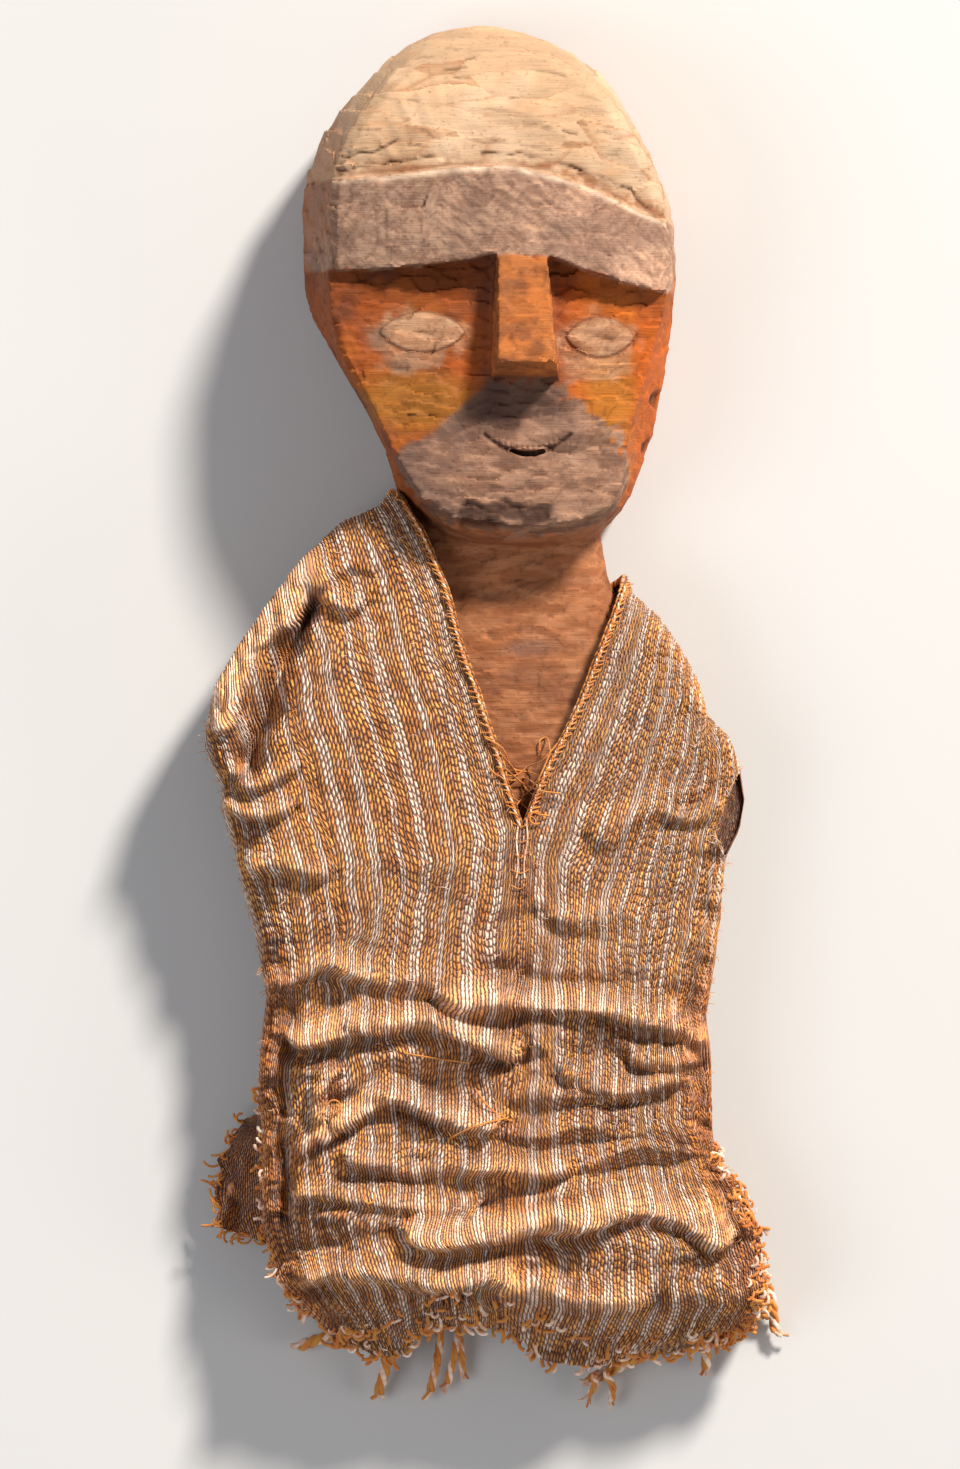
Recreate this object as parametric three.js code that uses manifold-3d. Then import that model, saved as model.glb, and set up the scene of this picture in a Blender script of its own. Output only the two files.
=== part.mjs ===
// A carved wooden funerary figure in a striped cotton tunic, lying on its back.
// Millimetres. +X is to the right of a viewer over the face, +Y runs from foot to crown, +Z up from the floor.
// The parts are laid out from the chin, at x = 0, y = 0, and from the floor, at z = 0.
import * as THREE from "three";
import { mergeVertices } from "three/addons/utils/BufferGeometryUtils.js";
import Module from "manifold-3d";

const wasm = await Module();
wasm.setup();

// Wooden figure
const browHeight = 90; // back of the head to the front of the brow band
const browStep = 3; // how far the brow band stands above the forehead
const browLedge = 15; // how far the cheek beside the nose lies below the brow band
const foreheadFall = 36; // how much lower the crown's edge is than the brow
const templeFall = 7;
const noseRise = 12; // how far the nose's tip stands above the brow band
const noseTopWidth = 19;
const noseTipWidth = 23;
const mouthWidth = 34;
const mouthDepth = 5;
const mouthDrop = 7.6; // how far the middle of the slit lies below its ends
const mouthGap = 2.6;
const eyeHeight = 16;
const leftEyeWidth = 34;
const rightEyeWidth = 27;
const incisedWidth = 1; // the line cut round each eye
const incisedDepth = 1.4;
const boardDepth = 45; // neck and body board, front to back
const boardFoot = 306; // chin to the foot of the board

// Tunic
const clothThickness = 3.2;
const seamGap = 0.6; // between the two woven panels, where the thread joins them
const woodGap = 0.6; // between the cloth and the wood
const tunicDepth = 63; // floor to the front of the cloth on the chest
const hemLine = 333; // chin to the hem, on average
const hemFall = 37; // length over which the cloth drops to the hem
const clothReach = 400; // a length past every edge of the cloth
const collarTop = 60; // chin to a line above the cloth
const hemDepth = 30; // the same as the tunic's depth, at the hem
const neckSlitFront = 121; // chin to the point of the V
const neckSlitBack = 50;

const wood = new THREE.MeshStandardMaterial({ color: 0xc9824e, roughness: 0.82, metalness: 0 });
const leftCotton = new THREE.MeshStandardMaterial({ color: 0xc08a52, roughness: 0.95, metalness: 0 });
const rightCotton = new THREE.MeshStandardMaterial({ color: 0xb98450, roughness: 0.95, metalness: 0 });

const mix = (a, b, t) => a + (b - a) * t;
const clamp01 = (t) => Math.min(1, Math.max(0, t));
const smooth = (t) => clamp01(t) ** 2 * (3 - 2 * clamp01(t));
const spread = (count, value) => Array.from({ length: count + 1 }, (_, i) => value(i / count));

// Value at x on a line through rows of [x, value], with x rising.
function along(rows, x) {
  const last = rows.length - 1;
  if (x <= rows[0][0]) return rows[0][1];
  if (x >= rows[last][0]) return rows[last][1];
  const i = rows.findIndex((row, k) => x < rows[k + 1][0]);
  const t = (x - rows[i][0]) / (rows[i + 1][0] - rows[i][0]);
  return mix(rows[i][1], rows[i + 1][1], t);
}

function solidOf(geometry) {
  const bare = geometry.clone();
  bare.deleteAttribute("normal");
  bare.deleteAttribute("uv");
  const merged = mergeVertices(bare, 1e-4);
  const mesh = new wasm.Mesh({
    numProp: 3,
    vertProperties: merged.attributes.position.array,
    triVerts: new Uint32Array(merged.index.array),
  });
  return new wasm.Manifold(mesh);
}

function meshOf(name, solid, material) {
  const mesh = solid.getMesh();
  const geometry = new THREE.BufferGeometry();
  geometry.setAttribute("position", new THREE.BufferAttribute(mesh.vertProperties.slice(), 3));
  geometry.setIndex(new THREE.BufferAttribute(mesh.triVerts.slice(), 1));
  const result = new THREE.Mesh(geometry, material);
  result.name = name;
  return result;
}

// A solid over rings of equally many points. The two axes are those in which the end rings are seen whole.
function loft(rings, axes) {
  const count = rings[0].length;
  const faces = [];
  for (let r = 0; r + 1 < rings.length; r++) {
    for (let i = 0; i < count; i++) {
      const j = (i + 1) % count;
      const [a, b, c, d] = [r * count + i, r * count + j, (r + 1) * count + i, (r + 1) * count + j];
      faces.push([a, b, d], [a, d, c]);
    }
  }
  const flat = (ring) => ring.map((p) => new THREE.Vector2(p[axes[0]], p[axes[1]]));
  const top = (rings.length - 1) * count;
  for (const [a, b, c] of THREE.ShapeUtils.triangulateShape(flat(rings[0]), [])) faces.push([c, b, a]);
  for (const [a, b, c] of THREE.ShapeUtils.triangulateShape(flat(rings.at(-1)), [])) {
    faces.push([top + a, top + b, top + c]);
  }
  const geometry = new THREE.BufferGeometry();
  const values = rings.flat().flatMap((p) => [p.x, p.y, p.z]);
  geometry.setAttribute("position", new THREE.Float32BufferAttribute(values, 3));
  geometry.setIndex(faces.flat());
  return solidOf(geometry);
}

// An upright prism on an outline of [x, y], between two heights that may change over it.
function prism(outline, low, high) {
  const points = outline.map(([x, y]) => new THREE.Vector2(x, y));
  if (THREE.ShapeUtils.isClockWise(points)) points.reverse();
  const ring = (height) => points.map((p) => new THREE.Vector3(p.x, p.y, height(p.x, p.y)));
  return loft([ring(low), ring(high)], ["x", "y"]);
}

const floorBelow = () => -20;
const skyAbove = () => 200;

// Edge of the head from the chin over the right side to the crown and down the left side.
// Each row is a point of the back's edge and then the point of the front's edge that its side plane meets.
const headEdge = [
  [10, -12, 12, -1],
  [34, -10, 34, 1.5],
  [51, 3, 47, 6],
  [59, 18, 53, 17],
  [65, 36, 55, 35],
  [70, 60, 62, 58],
  [73, 84, 69, 84],
  [74.5, 107, 72, 107],
  [72, 126, 70, 125],
  [62, 152, 60, 150],
  [46, 178, 43, 175],
  [22, 194, 20, 190],
  [-8, 199, -7, 194],
  [-28, 195, -25, 190],
  [-50, 177, -44, 173],
  [-66, 156, -58, 152],
  [-74, 134, -63.5, 132],
  [-74.5, 110, -64, 110],
  [-73.5, 90, -63.5, 88],
  [-63, 68, -60, 68],
  [-50, 46, -47, 46],
  [-42, 29, -38, 28],
  [-35, 9, -28, 12],
  [-14, -9, -12, 2],
];
const edgeSteps = 66; // points round the head

function edgeCurve(first) {
  const points = headEdge.map((row) => new THREE.Vector3(row[first], row[first + 1], 0));
  return new THREE.CatmullRomCurve3(points, true, "centripetal").getPoints(edgeSteps).slice(0, edgeSteps);
}

const faceMiddle = new THREE.Vector3(4, 100, 0);
const foreheadStart = 142;
const crownEdge = 199;

// Height of the uncut front: level at the brow, falling to the temples and up over the forehead.
function headFront(x, y) {
  const up = clamp01((y - foreheadStart) / (crownEdge - foreheadStart));
  return browHeight - foreheadFall * up ** 2 - templeFall * (Math.abs(x - faceMiddle.x) / 72) ** 2;
}

function headBlank(rise) {
  const level = (ring, inset, z) => ring.map((p) => p.clone().lerp(faceMiddle, inset).setZ(z));
  const front = (inset, drop) =>
    level(edgeCurve(2), inset, 0).map((p) => p.setZ(headFront(p.x, p.y) + rise - drop));
  const side = edgeCurve(0);
  return loft(
    [
      level(side, 0.07, 0),
      level(side, 0.01, 9),
      level(side, 0, 40),
      front(0, 4),
      front(0.05, 0.5),
      front(0.3, 0),
      front(0.6, 0),
      front(0.85, 0),
    ],
    ["x", "y"],
  );
}

// Lower and upper edge of the brow band, from left to right.
const browFoot = [[-90, 101], [-48, 101], [-22, 103], [-8, 105], [2, 107], [24, 106], [40, 100], [60, 94], [90, 89]];
const browTop = [[90, 114], [64, 122], [52, 128], [36, 135], [20, 140], [6, 142.5], [-10, 142], [-44, 138], [-90, 135]];

// Cheeks: a shallow roof on both sides of the nose, below the brow band.
const noseX = 13;
const cheekHeight = (x, y) => browHeight - browLedge + 0.04 * (105 - y) + 0.05 * Math.abs(x - noseX);

function cheekCut(side) {
  const edge = browFoot.filter(([x]) => side * (x - noseX) > 0);
  const inner = noseX - side;
  const outline = [[inner, -40], [inner, 106], ...(side > 0 ? edge : edge.toReversed()), [side * 90, -40]];
  return prism(outline, cheekHeight, skyAbove);
}

// The chin's front edge runs back down to the neck.
const chinSlope = [[-90, 3], [-10, 1], [12, -2], [40, 1], [90, 8]];

function chinCut() {
  const edge = [...chinSlope.map(([x, y]) => new THREE.Vector3(x, y, 79)), new THREE.Vector3(90, -60, 79),
    new THREE.Vector3(-90, -60, 79)].reverse();
  const lower = edge.map((p) => new THREE.Vector3(p.x, Math.max(p.y - 12, -60), 47));
  return loft([lower, edge, edge.map((p) => p.clone().setZ(120))], ["x", "y"]);
}

// Nose: a plank from the brow that stands out more towards its tip; its left side and its underside slope.
const noseTop = 108;
const noseTip = 64;

function nose() {
  const ring = (left, right, drop, height) =>
    [
      [noseX + 2 - noseTipWidth / 2 - left, noseTip - drop],
      [noseX + 2 + noseTipWidth / 2 + right, noseTip - drop],
      [noseX + noseTopWidth / 2 + right / 2, noseTop],
      [noseX - noseTopWidth / 2 - left / 2, noseTop],
    ].map(([x, y]) => new THREE.Vector3(x, y, height(y)));
  const ridge = (y) => browHeight - 1 + (noseRise * (noseTop - y)) / (noseTop - noseTip);
  return loft([ring(5, 1, 9, () => 60), ring(4, 1, 8, () => 74), ring(0, 0, 0, ridge)], ["x", "y"]);
}

// Eyes: almonds outlined by a cut line.
const eyes = [
  { x: -27, y: 76, width: leftEyeWidth },
  { x: 44, y: 74, width: rightEyeWidth },
];

function almond({ x, y, width }, grow) {
  const half = width / 2 + 1.6 * grow;
  const high = eyeHeight / 2 + grow;
  return spread(20, (t) => 2 * Math.PI * t)
    .slice(1)
    .map((angle) => [x + half * Math.cos(angle), y + high * Math.sin(angle) * Math.abs(Math.sin(angle)) ** 0.5]);
}

function eyeLine(eye) {
  const low = (x, y) => cheekHeight(x, y) - incisedDepth;
  const rim = prism(almond(eye, incisedWidth), low, skyAbove);
  return rim.subtract(prism(almond(eye, 0), floorBelow, () => 250));
}

const mouth = new THREE.Vector2(15, 35);

function mouthSlit() {
  const arc = (depth) =>
    spread(12, (t) => [mouth.x + mouthWidth * (t - 0.5), mouth.y - 4 * depth * t * (1 - t)]);
  const lower = arc(mouthDrop + mouthGap / 2);
  const upper = arc(mouthDrop - mouthGap / 2);
  const outline = [...lower, ...upper.reverse().slice(1, -1)];
  return prism(outline, (x, y) => cheekHeight(x, y) - mouthDepth, skyAbove);
}

// Neck and body board: sections down its length, as [y, left edge, right edge].
const boardRows = [
  [24, -30, 44],
  [-6, -31, 45],
  [-20, -48, 47],
  [-36, -70, 53],
  [-60, -82, 68],
  [-95, -86, 78],
  [-150, -82, 80],
  [-220, -78, 77],
  [-290, -76, 76],
  [-boardFoot, -72, 72],
];
const boardLow = clothThickness + woodGap + 0.8;

function board(grow) {
  const bend = (value) => Math.sign(value) * Math.abs(value) ** 0.5;
  const middle = boardLow + boardDepth / 2;
  const section = ([y, left, right]) => {
    const half = (right - left) / 2 + grow;
    const point = (angle) =>
      new THREE.Vector3(
        (left + right) / 2 + half * bend(Math.cos(angle)),
        y - (y === -boardFoot ? grow : 0),
        middle + (boardDepth / 2 + grow) * bend(Math.sin(angle)),
      );
    return spread(24, (t) => point(2 * Math.PI * t)).slice(0, -1);
  };
  return loft(boardRows.map(section), ["x", "z"]);
}

// Two old chips in the edge of the right cheek: [x, y, radius].
const cheekChips = [[68, 49, 3.4], [63, 30, 3]];

function chip([x, y, radius]) {
  return solidOf(new THREE.SphereGeometry(radius, 8, 6).scale(1, 1.4, 2.6).translate(x, y, 55));
}

function woodenFigure() {
  const belowForehead = prism([...browTop, [-90, 80], [90, 80]], () => browHeight / 2, skyAbove);
  const band = headBlank(0).intersect(belowForehead);
  let head = headBlank(-browStep).add(band).subtract(cheekCut(-1)).subtract(cheekCut(1));
  head = head.subtract(chinCut()).add(nose());
  for (const eye of eyes) head = head.subtract(eyeLine(eye));
  head = head.subtract(mouthSlit());
  for (const at of cheekChips) head = head.subtract(chip(at));
  return head.add(board(0));
}

// Tunic. Left and right edge seen from the front, as [y, x], from the hem up.
const leftEdge = [
  [-333, -58], [-322, -68], [-313, -77], [-303, -85], [-283, -91], [-243, -91], [-231, -93], [-203, -91], [-191, -89],
  [-163, -94], [-143, -100], [-131, -102], [-117, -107], [-107, -107], [-91, -114], [-79, -113], [-65, -110],
  [-51, -102], [-35, -91], [-15, -76], [0, -60], [7, -44], [14, -39],
];
const rightEdge = [
  [-333, 88], [-322, 104], [-313, 110], [-299, 110], [-281, 107], [-269, 100], [-259, 94], [-247, 89], [-211, 88],
  [-199, 86], [-174, 90], [-157, 92], [-134, 94], [-122, 100], [-111, 102], [-98, 100], [-86, 96], [-78, 87],
  [-65, 84], [-51, 77], [-38, 68], [-28, 57], [-18, 54], [14, 52],
];
const hemRows = [
  [-70, -320], [-58, -330], [-42, -334], [-26, -322], [8, -320], [14, -335], [40, -338], [70, -333], [90, -328],
];

// Folds: a line of [x, y], the ridge's height, its half width, and the depth of the hollow below it.
const folds = [
  { line: [[-84, -38], [-76, -31], [-66, -28], [-54, -33]], height: 4, reach: 6, hollow: 4 },
  { line: [[-92, -52], [-99, -66], [-103, -84]], height: 5, reach: 8, hollow: 0 },
  { line: [[-80, -42], [-83, -54], [-88, -80], [-97, -96]], height: -6, reach: 5, hollow: 0 },
  { line: [[-106, -114], [-96, -119], [-84, -117]], height: 4, reach: 5, hollow: 2 },
  { line: [[-80, -132], [-40, -131], [0, -133]], height: 2, reach: 12, hollow: 2 },
  { line: [[-90, -184], [-80, -180], [-56, -179]], height: 4, reach: 6, hollow: 2 },
  { line: [[-72, -212], [-60, -206], [-36, -201], [-11, -207], [-2, -210]], height: 7, reach: 6, hollow: 6 },
  { line: [[-12, -191], [17, -192], [41, -194], [61, -197], [85, -205]], height: 8, reach: 7, hollow: 6 },
  { line: [[-57, -238], [-41, -233], [-18, -233], [0, -237]], height: 6, reach: 6, hollow: 5 },
  { line: [[30, -222], [54, -225], [74, -221]], height: 4, reach: 6, hollow: 3 },
  { line: [[-12, -256], [27, -256]], height: 4, reach: 6, hollow: 3 },
  { line: [[-12, -285], [12, -285], [35, -280], [52, -275], [70, -275], [85, -284]], height: 9, reach: 7, hollow: 7 },
  { line: [[-72, -303], [-20, -304]], height: 5, reach: 7, hollow: 4 },
  { line: [[6, -307], [35, -313]], height: 4, reach: 7, hollow: 2 },
  { line: [[84, -104], [66, -114], [48, -126]], height: 3, reach: 8, hollow: 2 },
];

// Height that a fold adds at a place: a rounded ridge that fades past its ends, and a hollow on its lower side.
function foldHeight({ line, height, reach, hollow }, x, y) {
  let near = { distance: Infinity };
  for (let i = 0; i + 1 < line.length; i++) {
    const [ax, ay] = line[i];
    const [dx, dy] = [line[i + 1][0] - ax, line[i + 1][1] - ay];
    const t = clamp01(((x - ax) * dx + (y - ay) * dy) / (dx * dx + dy * dy));
    const distance = Math.hypot(x - ax - dx * t, y - ay - dy * t);
    if (distance < near.distance) near = { distance, below: ay + dy * t - y };
  }
  const across = near.distance / reach;
  const dip = near.below > 0 ? 1.7 * across * hollow * Math.exp(-((across - 0.4) ** 2)) : 0;
  return height * Math.exp(-across * across) - dip * Math.exp(-0.3 * across * across);
}

const bulge = (share, round) => (1 - Math.min(1, Math.abs(share)) ** round) ** (1 / round);
const clothRows = 36;
const frontSteps = 26;
const backSteps = 7;

const hemShare = (y) => smooth((hemFall - y - hemLine) / hemFall);
const depthAt = (y) => mix(tunicDepth, hemDepth, hemShare(y) ** 1.5);
const hemShift = (x, y) => hemShare(y) * (along(hemRows, x) + hemLine);

function edgesAt(y, inset) {
  const [left, right] = [along(leftEdge, y) + inset, along(rightEdge, y) - inset];
  return { middle: (left + right) / 2, half: (right - left) / 2 };
}

// Height of the front of the tunic at a place, or of its inner face with the cloth's thickness as inset.
function frontHeight(x, y, inset) {
  const { middle, half } = edgesAt(y, inset);
  const lift = bulge((x - middle) / half, 2.6);
  const crease = folds.reduce((sum, fold) => sum + foldHeight(fold, x, y), 0) * Math.min(1, 1.6 * lift);
  return depthAt(y) / 2 + (depthAt(y) / 2 - inset) * lift + crease;
}

// Section of the tunic at a height y, drawn in by inset all round.
function tunicRing(y, inset) {
  const { middle, half } = edgesAt(y, inset);
  const point = (angle) => {
    const x = middle + half * Math.cos(angle);
    const back = depthAt(y) / 2 - (depthAt(y) / 2 - inset) * bulge(Math.cos(angle), 5);
    const z = Math.sin(angle) > 1e-6 ? frontHeight(x, y, inset) : back;
    return new THREE.Vector3(x, y + hemShift(x, y), z);
  };
  return [
    ...spread(frontSteps, (t) => point(Math.PI * t)),
    ...spread(backSteps, (t) => point(Math.PI * (1 + t))).slice(1, -1),
  ];
}

function tunicBody(inset, top, bottom) {
  const rings = spread(clothRows, (t) => tunicRing(mix(top, -hemLine, t), inset));
  if (bottom > hemLine) rings.push(rings.at(-1).map((p) => p.clone().setY(p.y - (bottom - hemLine))));
  return loft(rings, ["x", "z"]);
}

function neckCut(slit, low, high) {
  const outline = [
    [13, -slit], [19, -0.8 * slit], [36, -0.58 * slit], [48, -0.35 * slit], [54, -22], [60, -16], [80, 40],
    [-34, 40], [-34.5, 12], [-25, -0.06 * slit], [-15, -0.3 * slit], [-4, -0.6 * slit],
  ];
  return prism(outline, () => low, () => high);
}

// The armholes: openings in the side between the front and the back of the cloth.
function armhole(x, y, z, turn) {
  const hole = new THREE.SphereGeometry(1, 14, 8).scale(14, 34, 11).rotateZ(turn).translate(x, y, z);
  return solidOf(hole);
}

// Tassels of twisted ends: [x, y] where one leaves the cloth, [x, y] of its tip, and its radius.
const tasselTip = 4; // height of the tips above the floor

function tassel([x, y, tipX, tipY, radius]) {
  const onSide = Math.abs(x) > 85 && y > -315;
  const root = onSide ? depthAt(y) / 2 : frontHeight(x, y - hemShift(x, y), clothThickness / 2);
  const [from, to] = [new THREE.Vector3(x, y, root), new THREE.Vector3(tipX, tipY, tasselTip)];
  const stem = to.clone().sub(from);
  const shape = new THREE.CylinderGeometry(0.45 * radius, radius, stem.length(), 6, 1);
  const turn = new THREE.Quaternion().setFromUnitVectors(new THREE.Vector3(0, 1, 0), stem.clone().normalize());
  return solidOf(shape.applyQuaternion(turn).translate(...from.add(to).multiplyScalar(0.5).toArray()));
}

const leftTassels = [
  [-54, -324, -76, -331, 2.6],
  [-42, -331, -45, -350, 2.6],
  [-20, -318, -24, -349, 3],
  [-13, -317, -17, -347, 2.4],
  [-89, -262, -109, -277, 3.6],
];
const rightTassels = [
  [58, -332, 40, -345, 3],
  [48, -333, 49, -353, 2.4],
  [84, -325, 87, -340, 2.6],
  [98, -312, 112, -319, 2.6],
  [108, -300, 115, -325, 2.6],
];

const seamLine = [[-121, 13], [-340, 4]];

function besideSeam(side) {
  const [[topY, topX], [footY, footX]] = seamLine;
  const shift = (side * seamGap) / 2;
  const outline = [
    [topX + shift, collarTop], [topX + shift, topY], [footX + shift, footY], [footX + shift, -clothReach],
    [(side * clothReach) / 2, -clothReach], [(side * clothReach) / 2, collarTop],
  ];
  return prism(outline, floorBelow, skyAbove);
}

function headKeepOut() {
  const outline = edgeCurve(0).map((p) => p.clone().lerp(faceMiddle, -0.008));
  return prism(outline.map((p) => [p.x, p.y]), floorBelow, skyAbove);
}

function tunic() {
  const middle = tunicDepth / 2;
  return tunicBody(0, 14, hemLine)
    .subtract(tunicBody(clothThickness, 14 - clothThickness, hemLine + 20))
    .subtract(neckCut(neckSlitFront, middle, 200))
    .subtract(neckCut(neckSlitBack, -20, middle + 1))
    .subtract(armhole(-107, -68, middle + 1, -0.5))
    .subtract(armhole(103, -108, middle + 5, 0.08))
    .subtract(headKeepOut())
    .subtract(board(woodGap));
}

// The panel on one side of the seam with its tassels; loose crumbs of cloth from the cuts are dropped.
function panel(side, tassels) {
  const sheets = tunic().intersect(besideSeam(side)).decompose();
  sheets.sort((a, b) => b.volume() - a.volume());
  return tassels.map(tassel).reduce((whole, piece) => whole.add(piece), sheets[0]);
}

const figure = new THREE.Group();
figure.name = "funerary_figure";
figure.add(meshOf("wooden_figure", woodenFigure(), wood));
figure.add(meshOf("left_panel", panel(-1, leftTassels), leftCotton));
figure.add(meshOf("right_panel", panel(1, rightTassels), rightCotton));

const box = new THREE.Box3().setFromObject(figure);
const shift = box.getCenter(new THREE.Vector3()).setZ(box.min.z).negate();
for (const piece of figure.children) piece.geometry.translate(shift.x, shift.y, shift.z);

export default figure;
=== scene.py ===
import bpy
import math
import random
import numpy as np
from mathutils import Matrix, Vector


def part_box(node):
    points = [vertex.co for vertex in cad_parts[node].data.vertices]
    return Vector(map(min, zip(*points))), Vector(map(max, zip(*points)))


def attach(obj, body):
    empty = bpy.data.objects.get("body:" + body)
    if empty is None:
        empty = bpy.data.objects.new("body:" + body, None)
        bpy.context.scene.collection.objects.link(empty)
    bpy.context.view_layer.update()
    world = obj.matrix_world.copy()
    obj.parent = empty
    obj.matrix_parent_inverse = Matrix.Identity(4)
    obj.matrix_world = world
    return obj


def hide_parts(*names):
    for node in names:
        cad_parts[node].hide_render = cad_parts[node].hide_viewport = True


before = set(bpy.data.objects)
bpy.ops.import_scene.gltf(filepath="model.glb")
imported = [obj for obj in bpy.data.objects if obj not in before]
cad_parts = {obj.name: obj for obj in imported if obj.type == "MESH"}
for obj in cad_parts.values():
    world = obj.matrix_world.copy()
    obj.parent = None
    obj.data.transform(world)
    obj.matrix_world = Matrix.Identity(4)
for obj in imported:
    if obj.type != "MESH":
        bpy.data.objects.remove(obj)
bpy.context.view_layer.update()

# Lengths below are in millimetres from the middle of the chin. place() moves them to the frame.
woodLow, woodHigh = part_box("wooden_figure")
chinFromLeft, chinFromTop = 0.086, 0.199
chinAt = np.array([woodLow.x + chinFromLeft, woodHigh.y - chinFromTop, 0.0])
millimetre = 0.001


def place(points):
    return np.asarray(points, float) * millimetre + chinAt


def unplace(points):
    return (np.asarray(points, float) - chinAt) / millimetre


# camera and light
view = {
    "height": 7.0,  # metres above the face
    "face": 0.06,
    "aim": 0.04,  # the lamps point at this height
    "middle": (-4.0, -84.6),
    "seen": 587.6,  # height of the picture at the face
    "sensor": 36,
}
cameraData = bpy.data.cameras.new("camera")
camera = bpy.data.objects.new("camera", cameraData)
bpy.context.collection.objects.link(camera)
camera.location = (*place((*view["middle"], 0))[:2], view["height"] + view["face"])
cameraData.lens = view["sensor"] * view["height"] / (view["seen"] * millimetre)
cameraData.clip_start, cameraData.clip_end = 0.1, 20
bpy.context.scene.camera = camera

lamps = {
    "key": {"at": (2.2, 3.5, 3.1), "size": 0.8, "power": 445, "tint": (1.0, 0.95, 0.87)},
    "fill": {"at": (-1.8, -0.6, 2.4), "size": 1.8, "power": 26, "tint": (0.93, 0.96, 1.0)},
    "low": {"at": (2.2, -0.9, 1.1), "size": 1.2, "power": 14, "tint": (1.0, 0.92, 0.82)},
}
sky = {"colour": (0.9, 0.93, 1.0, 1), "strength": 0.26}
for name, lamp in lamps.items():
    data = bpy.data.lights.new(name, "AREA")
    data.shape = "DISK"
    data.size, data.energy, data.color = lamp["size"], lamp["power"], lamp["tint"]
    light = bpy.data.objects.new(name, data)
    bpy.context.collection.objects.link(light)
    light.location = lamp["at"]
    aim = light.location.copy()
    aim.z -= view["aim"]
    light.rotation_euler = aim.to_track_quat("Z", "Y").to_euler()
world = bpy.data.worlds.new("studio")
world.use_nodes = True
world.node_tree.nodes["Background"].inputs["Color"].default_value = sky["colour"]
world.node_tree.nodes["Background"].inputs["Strength"].default_value = sky["strength"]
bpy.context.scene.world = world
bpy.context.scene.view_settings.view_transform = "Standard"
print("camera and light are set")


# helpers
def scramble(cell, seed):  # a whole number for each lattice cell
    key = (cell[:, 0] * 73856093) ^ (cell[:, 1] * 19349663) ^ (cell[:, 2] * 83492791) ^ (seed * 2654435761)
    return (key ^ (key >> 13)) * 1274126177 & 0x7FFFFFFF


def lot(cell, seed):  # one random number from 0 to 1 for each lattice cell
    key = scramble(cell, seed)
    return ((key ^ (key >> 15)) & 0xFFFFF) / 0xFFFFF


def noise(points, seed):  # smooth lattice noise from -1 to 1
    cell = np.floor(points).astype(np.int64)
    part = points - cell
    ease = part * part * (3 - 2 * part)
    total = np.zeros(len(points))
    for corner in range(8):
        step = np.array([corner & 1, (corner >> 1) & 1, corner >> 2])
        key = scramble(cell + step, seed)
        key = (key ^ (key >> 16)) & 0xFFFF
        share = np.prod(np.where(step == 1, ease, 1 - ease), axis=1)
        total += share * (key / 32767.5 - 1)
    return total


def layers(points, seed, count=3):  # several sizes of noise, each half as strong as the one before
    return sum(noise(points * 2.03**k, seed + k) * 0.5**k for k in range(count))


def rounded(line, steps=3):  # a line of points made smooth through the same points
    line = np.array([line[0], *line, line[-1]], float)
    t = np.arange(steps)[:, None] / steps
    parts = []
    for a, b, c, d in zip(line[:-3], line[1:-2], line[2:-1], line[3:]):
        square, cube = 2 * a - 5 * b + 4 * c - d, 3 * b - a - 3 * c + d
        parts.append(0.5 * (2 * b + (c - a) * t + square * t**2 + cube * t**3))
    return np.concatenate([*parts, line[-1:]])


def smooth(low, high, value):
    t = np.clip((value - low) / (high - low), 0, 1)
    return t * t * (3 - 2 * t)


def mix(a, b, t):
    return a + (b - a) * t


def tint(colour, other, share):  # mixes colours point by point
    return mix(colour, other, share[:, None])


def groove(distance, width):  # 1 on a line, falling off smoothly to both sides
    return np.exp(-((distance / width) ** 2))


def lineDistance(points, line):  # distance in x and y to a line of points, and the line's y less the point's
    best = np.full(len(points), 1e9)
    below = np.zeros(len(points))
    for (ax, ay), (bx, by) in zip(line[:-1], line[1:]):
        dx, dy = bx - ax, by - ay
        reach = (points[:, 0] - ax) * dx + (points[:, 1] - ay) * dy
        t = np.clip(reach / max(1e-9, dx * dx + dy * dy), 0, 1)
        distance = np.hypot(points[:, 0] - ax - dx * t, points[:, 1] - ay - dy * t)
        nearer = distance < best
        below = np.where(nearer, ay + dy * t - points[:, 1], below)
        best = np.minimum(best, distance)
    return best, below


def insideArea(points, outline, soft):  # 1 inside a closed outline, falling to 0 over a soft edge
    x, y = points[:, 0], points[:, 1]
    inside = np.zeros(len(points), bool)
    ring = outline + outline[:1]
    for (ax, ay), (bx, by) in zip(ring[:-1], ring[1:]):
        if ay != by:
            inside ^= ((ay > y) != (by > y)) & (x < (bx - ax) * (y - ay) / (by - ay) + ax)
    distance, _ = lineDistance(points, ring)
    return smooth(-soft, soft, np.where(inside, distance, -distance))


def only(obj):
    bpy.ops.object.select_all(action="DESELECT")
    obj.select_set(True)
    bpy.context.view_layer.objects.active = obj


def applyAll(obj):
    only(obj)
    for modifier in list(obj.modifiers):
        bpy.ops.object.modifier_apply(modifier=modifier.name)


def selectPoints(obj, mask):
    only(obj)
    bpy.ops.object.mode_set(mode="EDIT")
    bpy.ops.mesh.select_mode(type="VERT")
    bpy.ops.mesh.select_all(action="DESELECT")
    bpy.ops.object.mode_set(mode="OBJECT")
    obj.data.vertices.foreach_set("select", mask.astype(bool))


def inEdit(operator, everything=False, **settings):  # runs a mesh operator on what is selected
    bpy.ops.object.mode_set(mode="EDIT")
    if everything:
        bpy.ops.mesh.select_all(action="SELECT")
    operator(**settings)
    bpy.ops.object.mode_set(mode="OBJECT")


def readPoints(obj, what="co"):
    flat = np.zeros(len(obj.data.vertices) * 3, np.float32)
    obj.data.vertices.foreach_get(what, flat)
    return flat.reshape(-1, 3).astype(float)


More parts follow.
